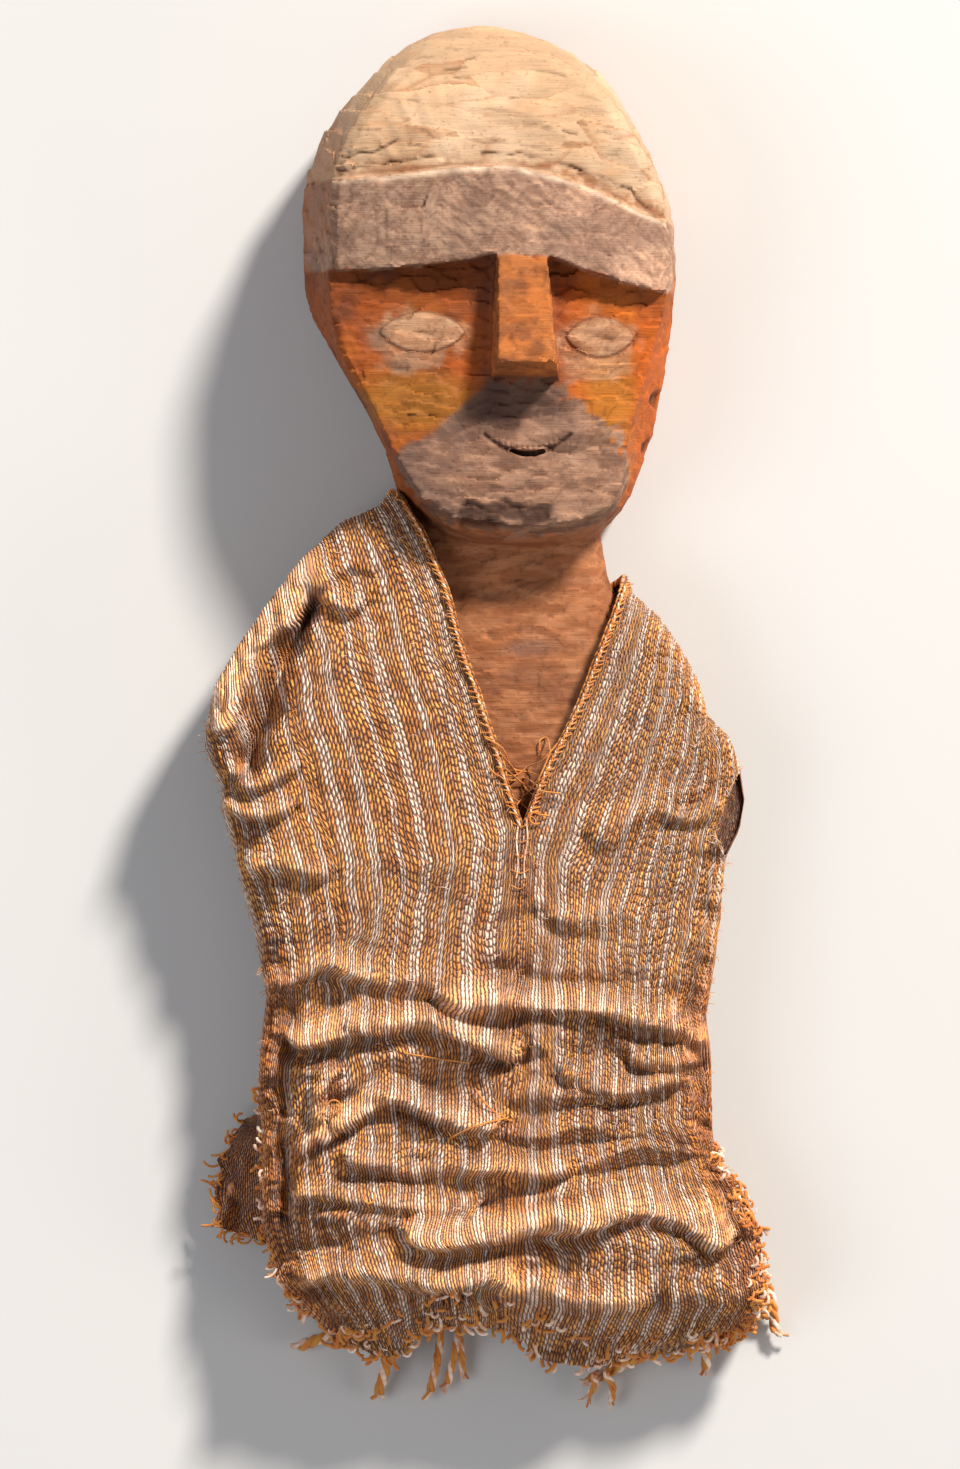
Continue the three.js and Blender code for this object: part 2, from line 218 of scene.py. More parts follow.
def writePoints(obj, points):
    obj.data.vertices.foreach_set("co", np.asarray(points, np.float32).ravel())
    obj.data.update()


def paint(obj, name, colours):
    layer = obj.data.color_attributes.new(name, "FLOAT_COLOR", "POINT")
    values = np.ones((len(obj.data.vertices), 4), np.float32)
    values[:, :3] = colours
    layer.data.foreach_set("color", values.ravel())


def tone(red, green, blue):  # a picture colour, 0 to 255, as linear light
    value = np.array([red, green, blue]) / 255
    return np.where(value <= 0.04045, value / 12.92, ((value + 0.055) / 1.055) ** 2.4)


def rgba(colour):
    return (*[float(c) for c in colour], 1)


class Maker:  # builds a material's nodes
    def __init__(self, name):
        self.material = bpy.data.materials.new(name)
        self.material.use_nodes = True
        self.tree = self.material.node_tree
        self.shader = self.tree.nodes["Principled BSDF"]

    def node(self, kind, inputs=None, **settings):
        made = self.tree.nodes.new(kind)
        for key, value in settings.items():
            setattr(made, key, value)
        for key, value in (inputs or {}).items():
            self.plug(made.inputs[key], value)
        return made

    def plug(self, socket, value):
        if isinstance(value, bpy.types.NodeSocket):
            self.tree.links.new(value, socket)
        else:
            socket.default_value = value

    def math(self, operation, *values):
        return self.node("ShaderNodeMath", dict(enumerate(values)), operation=operation).outputs[0]

    def add(self, first, second):
        return self.math("ADD", first, second)

    def minus(self, first, second):
        return self.math("SUBTRACT", first, second)

    def times(self, first, second):
        return self.math("MULTIPLY", first, second)

    def spread(self, value, low, high, start=0.0, end=1.0):
        inputs = {"Value": value, "From Min": low, "From Max": high, "To Min": start, "To Max": end}
        return self.node("ShaderNodeMapRange", inputs).outputs["Result"]

    def blend(self, share, first, second, how="MIX"):
        made = self.node("ShaderNodeMix", data_type="RGBA", blend_type=how)
        self.plug(made.inputs[0], share)
        self.plug(made.inputs[6], first)
        self.plug(made.inputs[7], second)
        return made.outputs[2]

    def parts(self, vector):
        return self.node("ShaderNodeSeparateXYZ", {0: vector}).outputs

    def lot(self, inputs, size):
        return self.node("ShaderNodeTexWhiteNoise", inputs, noise_dimensions=size).outputs["Value"]

    def tinted(self, colour, factor):
        return self.blend(1.0, colour, (*factor, 1), "MULTIPLY")

    def fibrous(self, sheen):
        for name, value in (("Roughness", 0.95), ("Specular IOR Level", 0.15), ("Sheen Weight", sheen)):
            self.shader.inputs[name].default_value = value

    def grain(self, scale, stretch=(1, 1, 1), detail=3.0, source="Object"):
        where = self.node("ShaderNodeTexCoord").outputs[source]
        mapped = self.node("ShaderNodeMapping", {"Vector": where, "Scale": stretch}).outputs[0]
        inputs = {"Vector": mapped, "Scale": scale, "Detail": detail}
        return self.node("ShaderNodeTexNoise", inputs).outputs["Fac"]

    def bump(self, height, distance, strength=1.0):
        inputs = {"Height": height, "Distance": distance, "Strength": strength}
        self.plug(self.shader.inputs["Normal"], self.node("ShaderNodeBump", inputs).outputs[0])


# wood
carving = {
    "voxel": 0.00092,
    "kept": {"hidden": 0.05, "sides": 0.4},  # share of the faces that stays
    "longCut": (34, 7.5, 22),  # size of a tool cut, and below it how deep it goes
    "longDepth": 1.25,
    "shortCut": (10, 4.6, 10),
    "shortDepth": 1.3,
    "bandCut": (13, 9, 12),
    "bandDepth": 1.1,
    "grain": 0.07,
    "unevenness": 0.25,
    "checks": 50,
    "checkDepth": 0.9,
    "roughDepth": 1.1,
    "scoreDepth": 0.35,
    "lidHeight": 0.5,
    "lidSlit": 0.7,
    "mouthSlit": 1.0,
    "hatchDepth": 0.4,
    "chipDepth": 1.9,
    "notchDepth": 2.4,
    "brightness": 0.88,
}
stains = {
    "cream": (206, 168, 132),
    "paleCream": (224, 190, 156),
    "wornCream": (188, 142, 104),
    "creamStreak": (156, 100, 60),
    "grey": (136, 104, 86),
    "paleGrey": (180, 144, 120),
    "greyDirt": (98, 74, 62),
    "greyEdge": (92, 68, 56),
    "orange": (186, 92, 30),
    "brightOrange": (204, 110, 34),
    "ochre": (192, 124, 40),
    "rust": (140, 74, 40),
    # painted shade beside the nose
    "shadeBesideNose": (126, 68, 44),
    # painted light on the cheek's right edge
    "litRightCheek": (204, 100, 28),
    "muzzle": (130, 98, 80),
    "paleMuzzle": (168, 130, 106),
    # random mottling, and painted shade towards the left
    "darkMuzzle": (96, 74, 66),
    "tan": (160, 98, 60),
    "paleTan": (182, 120, 80),
    "darkTan": (128, 78, 52),
    "bruise": (132, 96, 82),
    "lid": (172, 130, 98),
    "paleLid": (198, 158, 124),
    "underEye": (104, 84, 72),
    "nose": (188, 112, 54),
    "darkNose": (98, 58, 38),
    # the nose's underside, partly painted shadow
    "noseUndersideAndShade": (78, 54, 46),
    "leftSide": (158, 104, 74),
    # painted highlight on the band's top edge
    "bandEdgeHighlight": (240, 212, 184),
    "bandGroove": (120, 72, 42),
    "broken": (144, 88, 50),
    # dark marks, partly painted shade in recesses
    "darkMarkAndShade": (58, 34, 24),
}
stains = {name: tone(*colour) for name, colour in stains.items()}
browFoot = [(-90, 101), (-48, 101), (-22, 103), (-8, 105), (2, 107), (24, 106), (40, 100), (60, 94), (90, 89)]
browTop = [
    (-90, 135), (-44, 138), (-10, 142), (6, 142.5), (20, 140), (36, 135), (52, 128), (64, 122), (90, 114),
]
eyes = [{"at": (-27, 76), "width": 34, "height": 16}, {"at": (44, 74), "width": 27, "height": 16}]
mouth = {"at": (15, 35), "width": 34, "drop": 7.6, "hatchRise": 2.2, "hatchReach": 14}
muzzleArea = [
    (0, 56), (26, 56), (33, 49), (42, 44), (50, 36), (56, 26), (60, 10),
    (48, -3), (10, -6), (-26, 4), (-40, 24), (-34, 31), (-22, 36), (-12, 46),
]
noseArea = [(0, 112), (26, 112), (30, 50), (-2, 50)]
noseShade = [(-2, 60), (28, 60), (32, 40), (-8, 40)]
chipArea = [(-14, 4), (-9, 9), (-2, 6.5), (6, 9.5), (14, 6), (24, 7), (26, 1), (12, -3), (-12, -2)]
notches = ((67.5, 49, 4.0), (63.5, 29.5, 3.4), (72, 62, 2.0))  # x, y and reach at the right cheek
splinters = [
    [(-66, 140.5), (-50, 141.5), (-34, 144), (-22, 146)],
    [(-4, 146.5), (12, 147), (26, 144), (40, 139), (56, 131.5), (66, 122)],
    [(-60, 146), (-46, 148), (-38, 152)],
    [(-36, 191), (-24, 194.5), (-8, 195)],
    [(6, 193), (22, 189), (34, 184)],
]


def almondLine(eye):
    (x, y), half, high = eye["at"], eye["width"] / 2, eye["height"] / 2
    angles = np.linspace(0, 2 * math.pi, 40)
    return [(x + half * math.cos(a), y + high * math.sin(a) * abs(math.sin(a)) ** 0.5) for a in angles]


def mouthLine(depth):
    half = mouth["width"] / 2
    return [(mouth["at"][0] + half * s, mouth["at"][1] - depth * (1 - s * s)) for s in np.linspace(-1, 1, 14)]


def cuts(points, size, seed):  # flat tool cuts: height, distance from the cut's border, and the cut's own lot
    flat = points / size
    cell = np.floor(flat).astype(np.int64)
    first = np.full(len(points), 9.0)
    second = np.full(len(points), 9.0)
    height = np.zeros(len(points))
    own = np.zeros(len(points))
    for step in np.ndindex(3, 3, 3):
        at = cell + np.array(step) - 1
        jitter = np.stack([lot(at, seed + k) for k in range(3)], 1)
        away = flat - at - 0.12 - 0.76 * jitter
        distance = np.sum(away * away, 1)
        tilt = (lot(at, seed + 5) - 0.5) * away[:, 0] * 0.7 + (0.25 + lot(at, seed + 6)) * away[:, 1]
        nearer = distance < first
        second = np.where(nearer, first, np.minimum(second, distance))
        height = np.where(nearer, tilt + (lot(at, seed + 7) - 0.5) * 0.5, height)
        own = np.where(nearer, lot(at, seed + 8), own)
        first = np.minimum(first, distance)
    return height, np.sqrt(second) - np.sqrt(first), own


def lessSeen(points):  # what cloth and floor hide, and the sides of the head
    _, y, z = points.T
    hidden = (y < -128) | ((y < -26) & (z < 44)) | (z < 26)
    return {"hidden": hidden, "sides": (y > -4) & (z < 60) & ~hidden}


def buildCarving():
    carved = bpy.data.objects.new("woodCarving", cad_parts["wooden_figure"].data.copy())
    bpy.context.collection.objects.link(carved)
    only(carved)
    inEdit(bpy.ops.mesh.remove_doubles, everything=True, threshold=0.00001)
    remesh = carved.modifiers.new("even", "REMESH")
    remesh.mode = "VOXEL"
    remesh.voxel_size = carving["voxel"]
    applyAll(carved)

    for where, kept in carving["kept"].items():
        selectPoints(carved, lessSeen(unplace(readPoints(carved)))[where])
        inEdit(bpy.ops.mesh.decimate, ratio=kept)

    points = unplace(readPoints(carved))
    fine = lineDistance(points, mouthLine(mouth["drop"]))[0] < 4
    for eye in eyes:
        fine |= lineDistance(points, almondLine(eye))[0] < 1.6
    selectPoints(carved, fine & (points[:, 2] > 66))
    inEdit(bpy.ops.mesh.subdivide, number_cuts=1)
    return carved


def checkMarks(points):  # short cracks along the grain, most on the forehead, and splinters above the band
    chance = random.Random(4)
    cracks = np.zeros(len(points))
    for _ in range(carving["checks"]):
        startX, startY = chance.uniform(-60, 56), chance.uniform(146, 192)
        if chance.random() < 0.35:
            startX, startY = chance.uniform(-50, 60), chance.uniform(-110, 70)
        length, tilt = chance.uniform(3, 13), chance.uniform(-0.2, 0.12) - 0.003 * startX
        middle = (startX + length * 0.5, startY + length * 0.5 * tilt + chance.uniform(-0.6, 0.6))
        near, _ = lineDistance(points, [(startX, startY), middle, (startX + length, startY + length * tilt)])
        width, depth = chance.uniform(0.35, 0.6), chance.uniform(0.25, 0.8)
        cracks = np.maximum(cracks, groove(near, width) * depth)
    broken = smooth(-0.5, 0.3, noise(points * (0.2, 0.1, 0.1), 91))
    wandering = points + 1.1 * noise(points * 0.25, 90)[:, None]
    for line in splinters:
        near, _ = lineDistance(wandering, line)
        cracks = np.maximum(cracks, groove(near, 0.6) * broken)
    return cracks


def eyeMarks(points):  # outline, slit between the lids, patch of bare wood and lids
    outlines, slits, patches, lids = np.zeros((4, len(points)))
    for eye in eyes:
        (atX, atY), outline = eye["at"], almondLine(eye)
        lids = np.maximum(lids, insideArea(points, outline, 1.0))
        near, _ = lineDistance(points, outline)
        outlines = np.maximum(outlines, groove(near, 0.55))
        near, _ = lineDistance(points, [(atX - 5.5, atY - 1.6), (atX - 1, atY - 0.4), (atX + 4.5, atY - 1.2)])
        slits = np.maximum(slits, groove(near, 0.6))
        spread = np.hypot((points[:, 0] - atX + 2) / (eye["width"] * 0.66), (points[:, 1] - atY + 3.5) / 14)
        patches = np.maximum(patches, 1 - smooth(0.7, 1.05, spread + 0.3 * layers(points * 0.12, 44, 4)))
    return outlines, slits, patches, lids


def bandScores(points):  # fine scores across the band in two directions
    x, y, z = points.T
    turned = np.stack([x * 0.8 + y * 0.6, y * 0.8 - x * 0.6, z], 1)
    other = np.stack([x * 0.8 - y * 0.6, y * 0.8 + x * 0.6, z], 1)
    pick = smooth(-0.2, 0.2, noise(points * 0.04, 15))
    return mix(layers(turned * (0.12, 0.9, 0.4), 12, 3), layers(other * (0.12, 0.9, 0.4), 13, 3), pick)


def creamWood(cloud, small, longCuts):
    height, border, own = longCuts
    cream = tint(stains["cream"], stains["paleCream"], smooth(-0.5, 0.5, cloud))
    cream = tint(cream, stains["wornCream"], 0.5 * smooth(0.1, 0.9, small) * smooth(0.3, 1, own))
    cream = cream * (0.88 + 0.16 * np.clip(height, -1, 1))[:, None]
    return tint(cream, stains["creamStreak"], 0.55 * groove(border, 0.1) * smooth(0.45, 0.9, own))


def greyWood(points, scored, grit, bandCuts):
    height, border, own = bandCuts
    sandy = layers(points * 0.35, 19, 3)
    dirt = layers(points * 0.07, 17, 4) + 0.3 * sandy
    spots = 0.5 * scored + 0.3 * height + 0.5 * sandy + 0.4 * grit
    grey = tint(stains["grey"], stains["paleGrey"], smooth(-0.7, 0.7, spots))
    grey = tint(grey, stains["greyDirt"], 0.5 * smooth(0.1, 0.7, dirt))
    grey = tint(grey, stains["greyEdge"], 0.5 * groove(border, 0.07) * smooth(0.4, 0.8, own))
    # painted light: the band grows brighter towards the right, the side of the key light
    return grey * (0.96 + 0.5 * smooth(0, 50, points[:, 0]))[:, None]


def orangeWood(points, cloud, underBrow, belowBand):
    x, y, z = points.T
    orange = tint(stains["orange"], stains["brightOrange"], smooth(-0.4, 0.5, cloud))
    ochre = smooth(1.2, 0.4, np.hypot((x + 34) / 26, (y - 48) / 14) + 0.3 * cloud)
    ochre = np.maximum(ochre, 0.8 * smooth(1.2, 0.3, np.hypot((x - 48) / 14, (y - 48) / 22) + 0.3 * cloud))
    orange = tint(orange, stains["ochre"], 0.8 * ochre)
    orange = tint(orange, stains["rust"], 0.8 * smooth(0.05, 0.7, layers(points * 0.06, 133, 3)))
    # painted shade on the nose's flanks and the cheek right beside them
    besideNoseShade = smooth(24, 8, np.abs(x - 13)) * smooth(52, 64, y) * (1 - smooth(79, 83, z))
    orange = tint(orange, stains["shadeBesideNose"], 0.75 * besideNoseShade)
    # painted light: the right edge of the cheek brighter, as lit from the right
    orange = tint(orange, stains["litRightCheek"], 0.8 * smooth(54, 62, x) * smooth(100, 80, y))
    # painted shade: the cheeks grow darker towards the left, the side turned from the key light
    orange = orange * (1 - 0.36 * smooth(8, -22, x) * smooth(2, 12, y))[:, None]
    # painted shade under the brow's ledge
    return orange * (1 - 0.35 * groove(underBrow, 13) * belowBand)[:, None]


def muzzleWood(points, small, grit, shortCut):
    worn = small + shortCut * 0.6 + 0.4 * grit
    muzzle = tint(stains["muzzle"], stains["paleMuzzle"], smooth(-0.6, 0.6, worn))
    # darker muzzle: random mottling, plus painted shade growing towards the left
    shade = layers(points * 0.05, 151, 3) - 0.012 * (points[:, 0] - 10)
    return tint(muzzle, stains["darkMuzzle"], 0.7 * smooth(0.0, 0.7, shade))


def tanWood(points, small):
    x, y, _ = points.T
    tan = tint(stains["tan"], stains["paleTan"], smooth(-0.5, 0.5, small))
    stain = layers(points * (0.04, 0.08, 0.1), 163, 3)
    tan = tint(tan, stains["darkTan"], 0.6 * smooth(0.1, 0.8, stain))
    return tint(tan, stains["bruise"], 0.6 * smooth(1.1, 0.3, np.hypot((x - 16) / 13, (y + 50) / 4.5)))


def carve(carved):  # moves the points by how high the wood stands, and colours them
    points = unplace(readPoints(carved))
    normals = readPoints(carved, "normal")
    x, y, z = points.T
    underBrow = np.interp(x, *zip(*browFoot)) - y
    overBrow = y - np.interp(x, *zip(*browTop))
    aboveBand = smooth(-0.8, 0.8, overBrow)
    belowBand = smooth(-1.2, 1.2, underBrow)
    band = (1 - aboveBand) * (1 - belowBand)
    front = smooth(0.25, 0.7, normals[:, 2])
    visible = smooth(16, 26, z)
    swirl = points + 2.5 * np.stack([noise(points * 0.06, k) for k in (61, 62, 63)], 1)
    headPart = smooth(-6, 4, y)

    # tool cuts: long ones on the forehead, short ones on the cheeks, chin and neck, rough ones on the band
    longCuts = cuts(swirl, carving["longCut"], 3)
    shortCut, shortBorder, shortOwn = cuts(swirl, carving["shortCut"], 23)
    bandCuts = cuts(swirl, carving["bandCut"], 43)
    fibres = layers(points * (0.05, 0.95, 0.5), 71, 3)
    scored = bandScores(points)
    low = carving["longDepth"] * longCuts[0] * aboveBand
    low += carving["bandDepth"] * bandCuts[0] * band
    low += carving["shortDepth"] * shortCut * belowBand * mix(0.6, 1, headPart) * mix(0.45, 1, front)
    low += carving["grain"] * fibres * front * (1 - 0.6 * band)
    low += carving["unevenness"] * layers(points * 0.11, 83, 2)
    low += carving["scoreDepth"] * scored * front * band

    # cracks, and broken wood above the band
    cracks = checkMarks(points)
    low -= carving["checkDepth"] * cracks * front
    rough = groove(overBrow - 3, 3.2) * smooth(-0.3, 0.35, noise(points * 0.06, 8))
    low -= carving["roughDepth"] * rough * front * (0.5 + 0.5 * noise(points * (0.5, 1.1, 0.7), 93))

    # eyes and mouth
    face = front * smooth(70, 73, z) * belowBand
    eyeLine, lidSlit, eyePatch, lids = eyeMarks(points)
    low += face * (carving["lidHeight"] * lids - carving["lidSlit"] * lidSlit)
    lip, _ = lineDistance(points, mouthLine(mouth["drop"]))
    slit = groove(lip, 0.8)
    lip, _ = lineDistance(points, mouthLine(mouth["drop"] - mouth["hatchRise"]))
    hatch = np.clip(np.sin(x * 2.9 + 0.5 * y), 0, 1) ** 2 * groove(lip, 1.3)
    hatch *= np.abs(x - mouth["at"][0]) < mouth["hatchReach"]
    low -= face * (carving["mouthSlit"] * slit + carving["hatchDepth"] * hatch)

    # chip under the chin, and the notches at the right cheek's edge
    chinChip = insideArea(points, chipArea, 1.2) * smooth(46, 56, z)
    chinChip *= smooth(-0.9, -0.2, layers(points * 0.2, 24, 2))
    low -= carving["chipDepth"] * chinChip * (0.7 + 0.3 * noise(points * 0.6, 21))
    notch = np.zeros(len(points))
    for atX, atY, reach in notches:
        hole = smooth(1, 0.3, np.hypot(x - atX, (y - atY) * 0.8) / reach)
        notch = np.maximum(notch, hole * smooth(30, 40, z))
    low -= carving["notchDepth"] * notch
    moved = points + normals * (low * visible)[:, None]
    moved[:, 2] = np.maximum(moved[:, 2], 0)
    writePoints(carved, place(moved))

    # colours: cream forehead, grey band, orange and ochre cheeks, grey muzzle, tan neck
    cloud = layers(points * 0.03, 101, 4)
    small = layers(points * (0.12, 0.35, 0.2), 113, 3)
    grit = layers(points * 1.1, 27, 2)
    ragged = 2.2 * layers(points * 0.25, 171, 3)
    orange = orangeWood(points, cloud, underBrow, belowBand)
    colour = tint(tanWood(points, small), orange, smooth(2, 10, y + ragged) * (1 - 0.35 * smooth(40, 20, z)))
    muzzleMask = insideArea(points + ragged[:, None] * (1.8, 1.4, 0), muzzleArea, 1.4) * smooth(58, 66, z)
    colour = tint(colour, muzzleWood(points, small, grit, shortCut), 0.92 * muzzleMask)
    pale = tint(stains["lid"], stains["paleLid"], smooth(-0.4, 0.4, small + 0.4 * grit))
    colour = tint(colour, pale, np.maximum(0.8 * lids, 0.55 * eyePatch) * face)
    greyed = smooth(0.0, 0.5, layers(points * 0.08, 181, 2) + 0.02 * (72 - y)) * eyePatch * (x < 10)
    colour = tint(colour, stains["underEye"], 0.65 * greyed * face)
    ridge = smooth(80, 84, z) * insideArea(points, noseArea, 3) * belowBand
    colour = tint(colour, stains["nose"], 0.8 * ridge)
    handled = smooth(-0.4, 0.7, layers(points * 0.16, 87, 3) + 0.012 * (78 - y))
    colour = tint(colour, stains["darkNose"], 0.55 * ridge * handled)
    # the nose's dark underside: partly its own dark paint, partly painted shadow under the nose
    noseUndersideAndShade = insideArea(points, noseShade, 5) * smooth(70, 74, z) * (1 - smooth(78, 90, z))
    colour = tint(colour, stains["noseUndersideAndShade"], 0.75 * noseUndersideAndShade)
    bandMask = (1 - smooth(-0.6, 0.8, overBrow)) * (1 - smooth(-0.5, 1.0, underBrow + 0.3 * ragged))
    bandMask *= smooth(30, 56, z + 3 * ragged)
    colour = tint(colour, greyWood(points, scored, grit, bandCuts), 0.97 * bandMask)
    onCrown = aboveBand * smooth(8, 40, z + ragged)
    colour = tint(colour, creamWood(cloud, small, longCuts), onCrown)
    leftSide = smooth(-52, -64, x) * smooth(0.75, 0.35, normals[:, 2]) * smooth(100, 120, y)
    colour = tint(colour, stains["leftSide"], 0.6 * leftSide)
    # painted highlight along the band's lit top edge
    edgeHighlight = groove(overBrow + 1.2, 1.3) * front * (0.6 + 0.4 * noise(points * 0.2, 77))
    colour = tint(colour, stains["bandEdgeHighlight"], edgeHighlight)
    # a patchy darker line just above the band's top edge
    aboveBandLine = groove(overBrow - 1.4 - 0.3 * ragged, 1.0) * smooth(-0.5, 0.3, noise(points * 0.05, 8) + 0.2)
    colour = tint(colour, stains["bandGroove"], 0.75 * aboveBandLine * front)
    flaked = rough * smooth(-0.6, 0.2, layers(points * 0.3, 95, 2))
    colour = tint(colour, stains["broken"], 0.8 * flaked * front)
    lines = groove(shortBorder, 0.09) * smooth(0.35, 0.8, shortOwn) * (1 - bandMask) * (1 - onCrown)
    colour = tint(colour, colour * 0.45, 0.55 * lines)
    colour = colour * (1 + 0.16 * np.clip(shortCut, -1, 1) * belowBand)[:, None]
    colour = tint(colour, colour * 0.8, 0.3 * smooth(0.25, 0.75, fibres))
    # dark in cracks, eye outlines, lid slits, the mouth, the chin chip and the notches: partly the wood's own
    # dark marks, partly painted shade in these recesses
    dark = cracks * front + face * (0.6 * eyeLine + 0.35 * lidSlit) + 0.85 * chinChip + notch
    inMouth = face * np.maximum(1.15 * slit, 0.6 * hatch)
    dark = np.maximum(np.clip(dark, 0, 1), np.maximum(inMouth, 1.1 * chinChip))
    colour = tint(colour, stains["darkMarkAndShade"], 0.8 * dark)
    paint(carved, "woodTone", np.clip(colour * carving["brightness"], 0.004, 1))


def woodMaterial():
    make = Maker("carvedWood")
    base = make.node("ShaderNodeAttribute", attribute_name="woodTone").outputs["Color"]
    fibre = make.grain(1.0, (90, 1500, 420), 5)
    fleck = make.grain(520.0, (1, 1.6, 1), 4)
    mottle = make.grain(85.0, (1, 1.8, 1), 5)
    colour = make.blend(make.spread(fibre, 0.5, 0.72, 0.0, 0.3), base, make.tinted(base, (0.55, 0.42, 0.34)))
    pale = make.tinted(colour, (1.3, 1.22, 1.15))
    colour = make.blend(make.spread(mottle, 0.42, 0.72, 0.0, 0.45), colour, pale)
    dark = make.tinted(colour, (0.42, 0.32, 0.27))
    colour = make.blend(make.spread(fleck, 0.60, 0.70, 0.0, 0.5), colour, dark)
    make.plug(make.shader.inputs["Base Color"], colour)
    make.plug(make.shader.inputs["Roughness"], make.spread(mottle, 0.3, 0.7, 0.68, 0.88))
    make.shader.inputs["Specular IOR Level"].default_value = 0.3
    height = make.add(make.times(fibre, 0.5), make.times(fleck, 0.35))
    make.bump(height, 0.0005, 0.9)
    return make.material


carved = buildCarving()
carve(carved)
carved.data.materials.clear()
carved.data.materials.append(woodMaterial())
only(carved)
bpy.ops.object.shade_smooth_by_angle(angle=math.radians(50))
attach(carved, "root")
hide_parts("wooden_figure")
print("wood is carved,", len(carved.data.polygons), "faces")

# tunic
tunic = {
    "depth": 63.0,
    "hemDepth": 30.0,
    "hemLine": 333.0,
    "yarns": {"left": 88, "right": 84},  # warp yarns across each panel
    "pitch": 1.4,
    "frontRows": 298,
    "backRows": 54,
    "yarnHeight": 0.5,
    "yarnWander": 0.3,
    "yarnSwell": 0.34,
    "wrinkle": 2.3,
    "foldHeight": 1.1,  # these four are shares of what the table of folds gives
    "foldWidth": 0.88,
    "hollowDepth": 0.5,
    "hollowDrift": 0.4,
    "highestFold": 9.5,
    "overhang": 0.28,  # how far a ridge sags over the hollow below it
    "shorterBack": 4,
    "rolledEdge": ((-1.6, 2.3), (0.9, 1.7), (0.9, 0.5)),  # out and under, at the hem and along the seam
}
edges = {  # the cloth's outline from the hem to the neck, as (y, x)
    "left": [
        (-333, -58), (-322, -68), (-313, -77), (-303, -85), (-283, -91), (-243, -91), (-231, -93),
        (-203, -91), (-191, -89), (-163, -94), (-143, -100), (-131, -102), (-117, -107), (-107, -107),
        (-91, -114), (-79, -113), (-65, -110), (-51, -102), (-35, -91), (-15, -76), (0, -60),
        (7, -44), (14, -39),
    ],
    "right": [
        (-333, 88), (-322, 104), (-313, 110), (-299, 110), (-281, 107), (-269, 100), (-259, 94), (-247, 89),
        (-211, 88), (-199, 86), (-174, 90), (-157, 92), (-134, 94), (-122, 100), (-111, 102), (-98, 100),
        (-86, 96), (-78, 87), (-65, 84), (-51, 77), (-38, 68), (-28, 57), (-18, 54), (14, 52),
    ],
}
hemRows = [
    (-70, -318), (-58, -328), (-46, -334), (-36, -333), (-26, -323), (-8, -321), (8, -324), (22, -335),
    (40, -338), (70, -333), (90, -328),
]
# folds: line, height of the ridge, half width, hollow below it
folds = [
    ([(-84, -38), (-76, -31), (-66, -28), (-54, -33)], 6, 4.5, 6),
    ([(-76, -18), (-88, -36), (-100, -56), (-107, -78)], 17, 6.5, 0),
    ([(-71, -29), (-79, -47), (-88, -74), (-96, -95)], -15, 4.8, 0),
    ([(-106, -114), (-96, -119), (-84, -117)], 7, 4, 5),
    ([(-102, -98), (-93, -104), (-80, -100)], 5, 4, 3),
    ([(-70, -22), (-58, -14), (-46, -16)], 3, 4, 2),
    ([(-95, -136), (-84, -134), (-70, -138)], 4, 4.5, 3),
    ([(-80, -132), (-40, -131), (0, -133)], 2, 12, 2),
    ([(20, -150), (34, -158), (52, -152)], 3, 7, 3),
    ([(-92, -184), (-80, -180), (-66, -178), (-52, -179)], 6, 5, 4),
    ([(-52, -179), (-30, -181), (-10, -186)], 4, 6, 3),
    ([(-78, -208), (-68, -206), (-50, -201), (-30, -199), (-20, -201), (-3, -207), (6, -212)], 11, 5.5, 10),
    ([(-14, -191), (0, -190), (17, -192), (41, -194), (61, -197), (76, -203), (88, -207)], 11, 5.5, 9),
    ([(60, -212), (76, -214), (88, -212)], 5, 4, 5),
    ([(30, -222), (40, -224), (54, -225), (74, -221)], 6, 5, 5),
    ([(-65, -220), (-70, -228), (-68, -236), (-64, -246)], 6, 3.5, 2),
    ([(-58, -240), (-50, -235), (-41, -232), (-29, -233), (-16, -237), (2, -239)], 9, 5, 8),
    ([(-74, -250), (-68, -246), (-62, -243)], 5, 3.5, 4),
    ([(-54, -254), (-40, -257), (-29, -260), (-12, -259), (6, -257), (27, -256)], 6, 4.5, 6),
    ([(-76, -267), (-62, -269), (-50, -271), (-29, -273), (-8, -273)], 6, 4.5, 6),
    (
        [(-30, -286), (-12, -285), (12, -285), (35, -280), (52, -275), (70, -275), (85, -282), (92, -288)],
        12, 6.5, 11,
    ),
    ([(-74, -300), (-50, -303), (-20, -304), (4, -302)], 7, 6, 8),
    ([(6, -307), (20, -309), (40, -313), (60, -309)], 6, 6, 4),
    ([(84, -104), (66, -114), (48, -126)], 3, 7, 3),
    ([(92, -112), (84, -118), (74, -117)], 4, 4, 3),
    ([(-79, -196), (-83, -220), (-82, -250), (-80, -280)], -8, 4, 0),
    ([(84, -215), (84, -240), (90, -262), (96, -285)], -5, 4.5, 0),
]
innerLine = {  # from the hem up the seam, then up the edge of the V
    "left": [
        (3.7, -323), (8, -220), (12.7, -121), (6.4, -102), (2.4, -88), (-4.4, -68), (-11.2, -49), (-17, -26),
        (-26, -5), (-36.5, 13),
    ],
    "right": [
        (4.3, -323), (8.6, -220), (13.3, -121), (22, -98), (27.6, -88), (36.4, -70), (42.4, -54), (49.2, -37),
        (54.8, -21),
    ],
}
backLine = {
    "left": [(3.7, -319), (8, -200), (12.7, -50), (-2, -36), (-20, -12), (-36.5, 13)],
    "right": [(4.3, -319), (8.6, -200), (13.3, -50), (28, -40), (42, -30), (54.8, -21)],
}
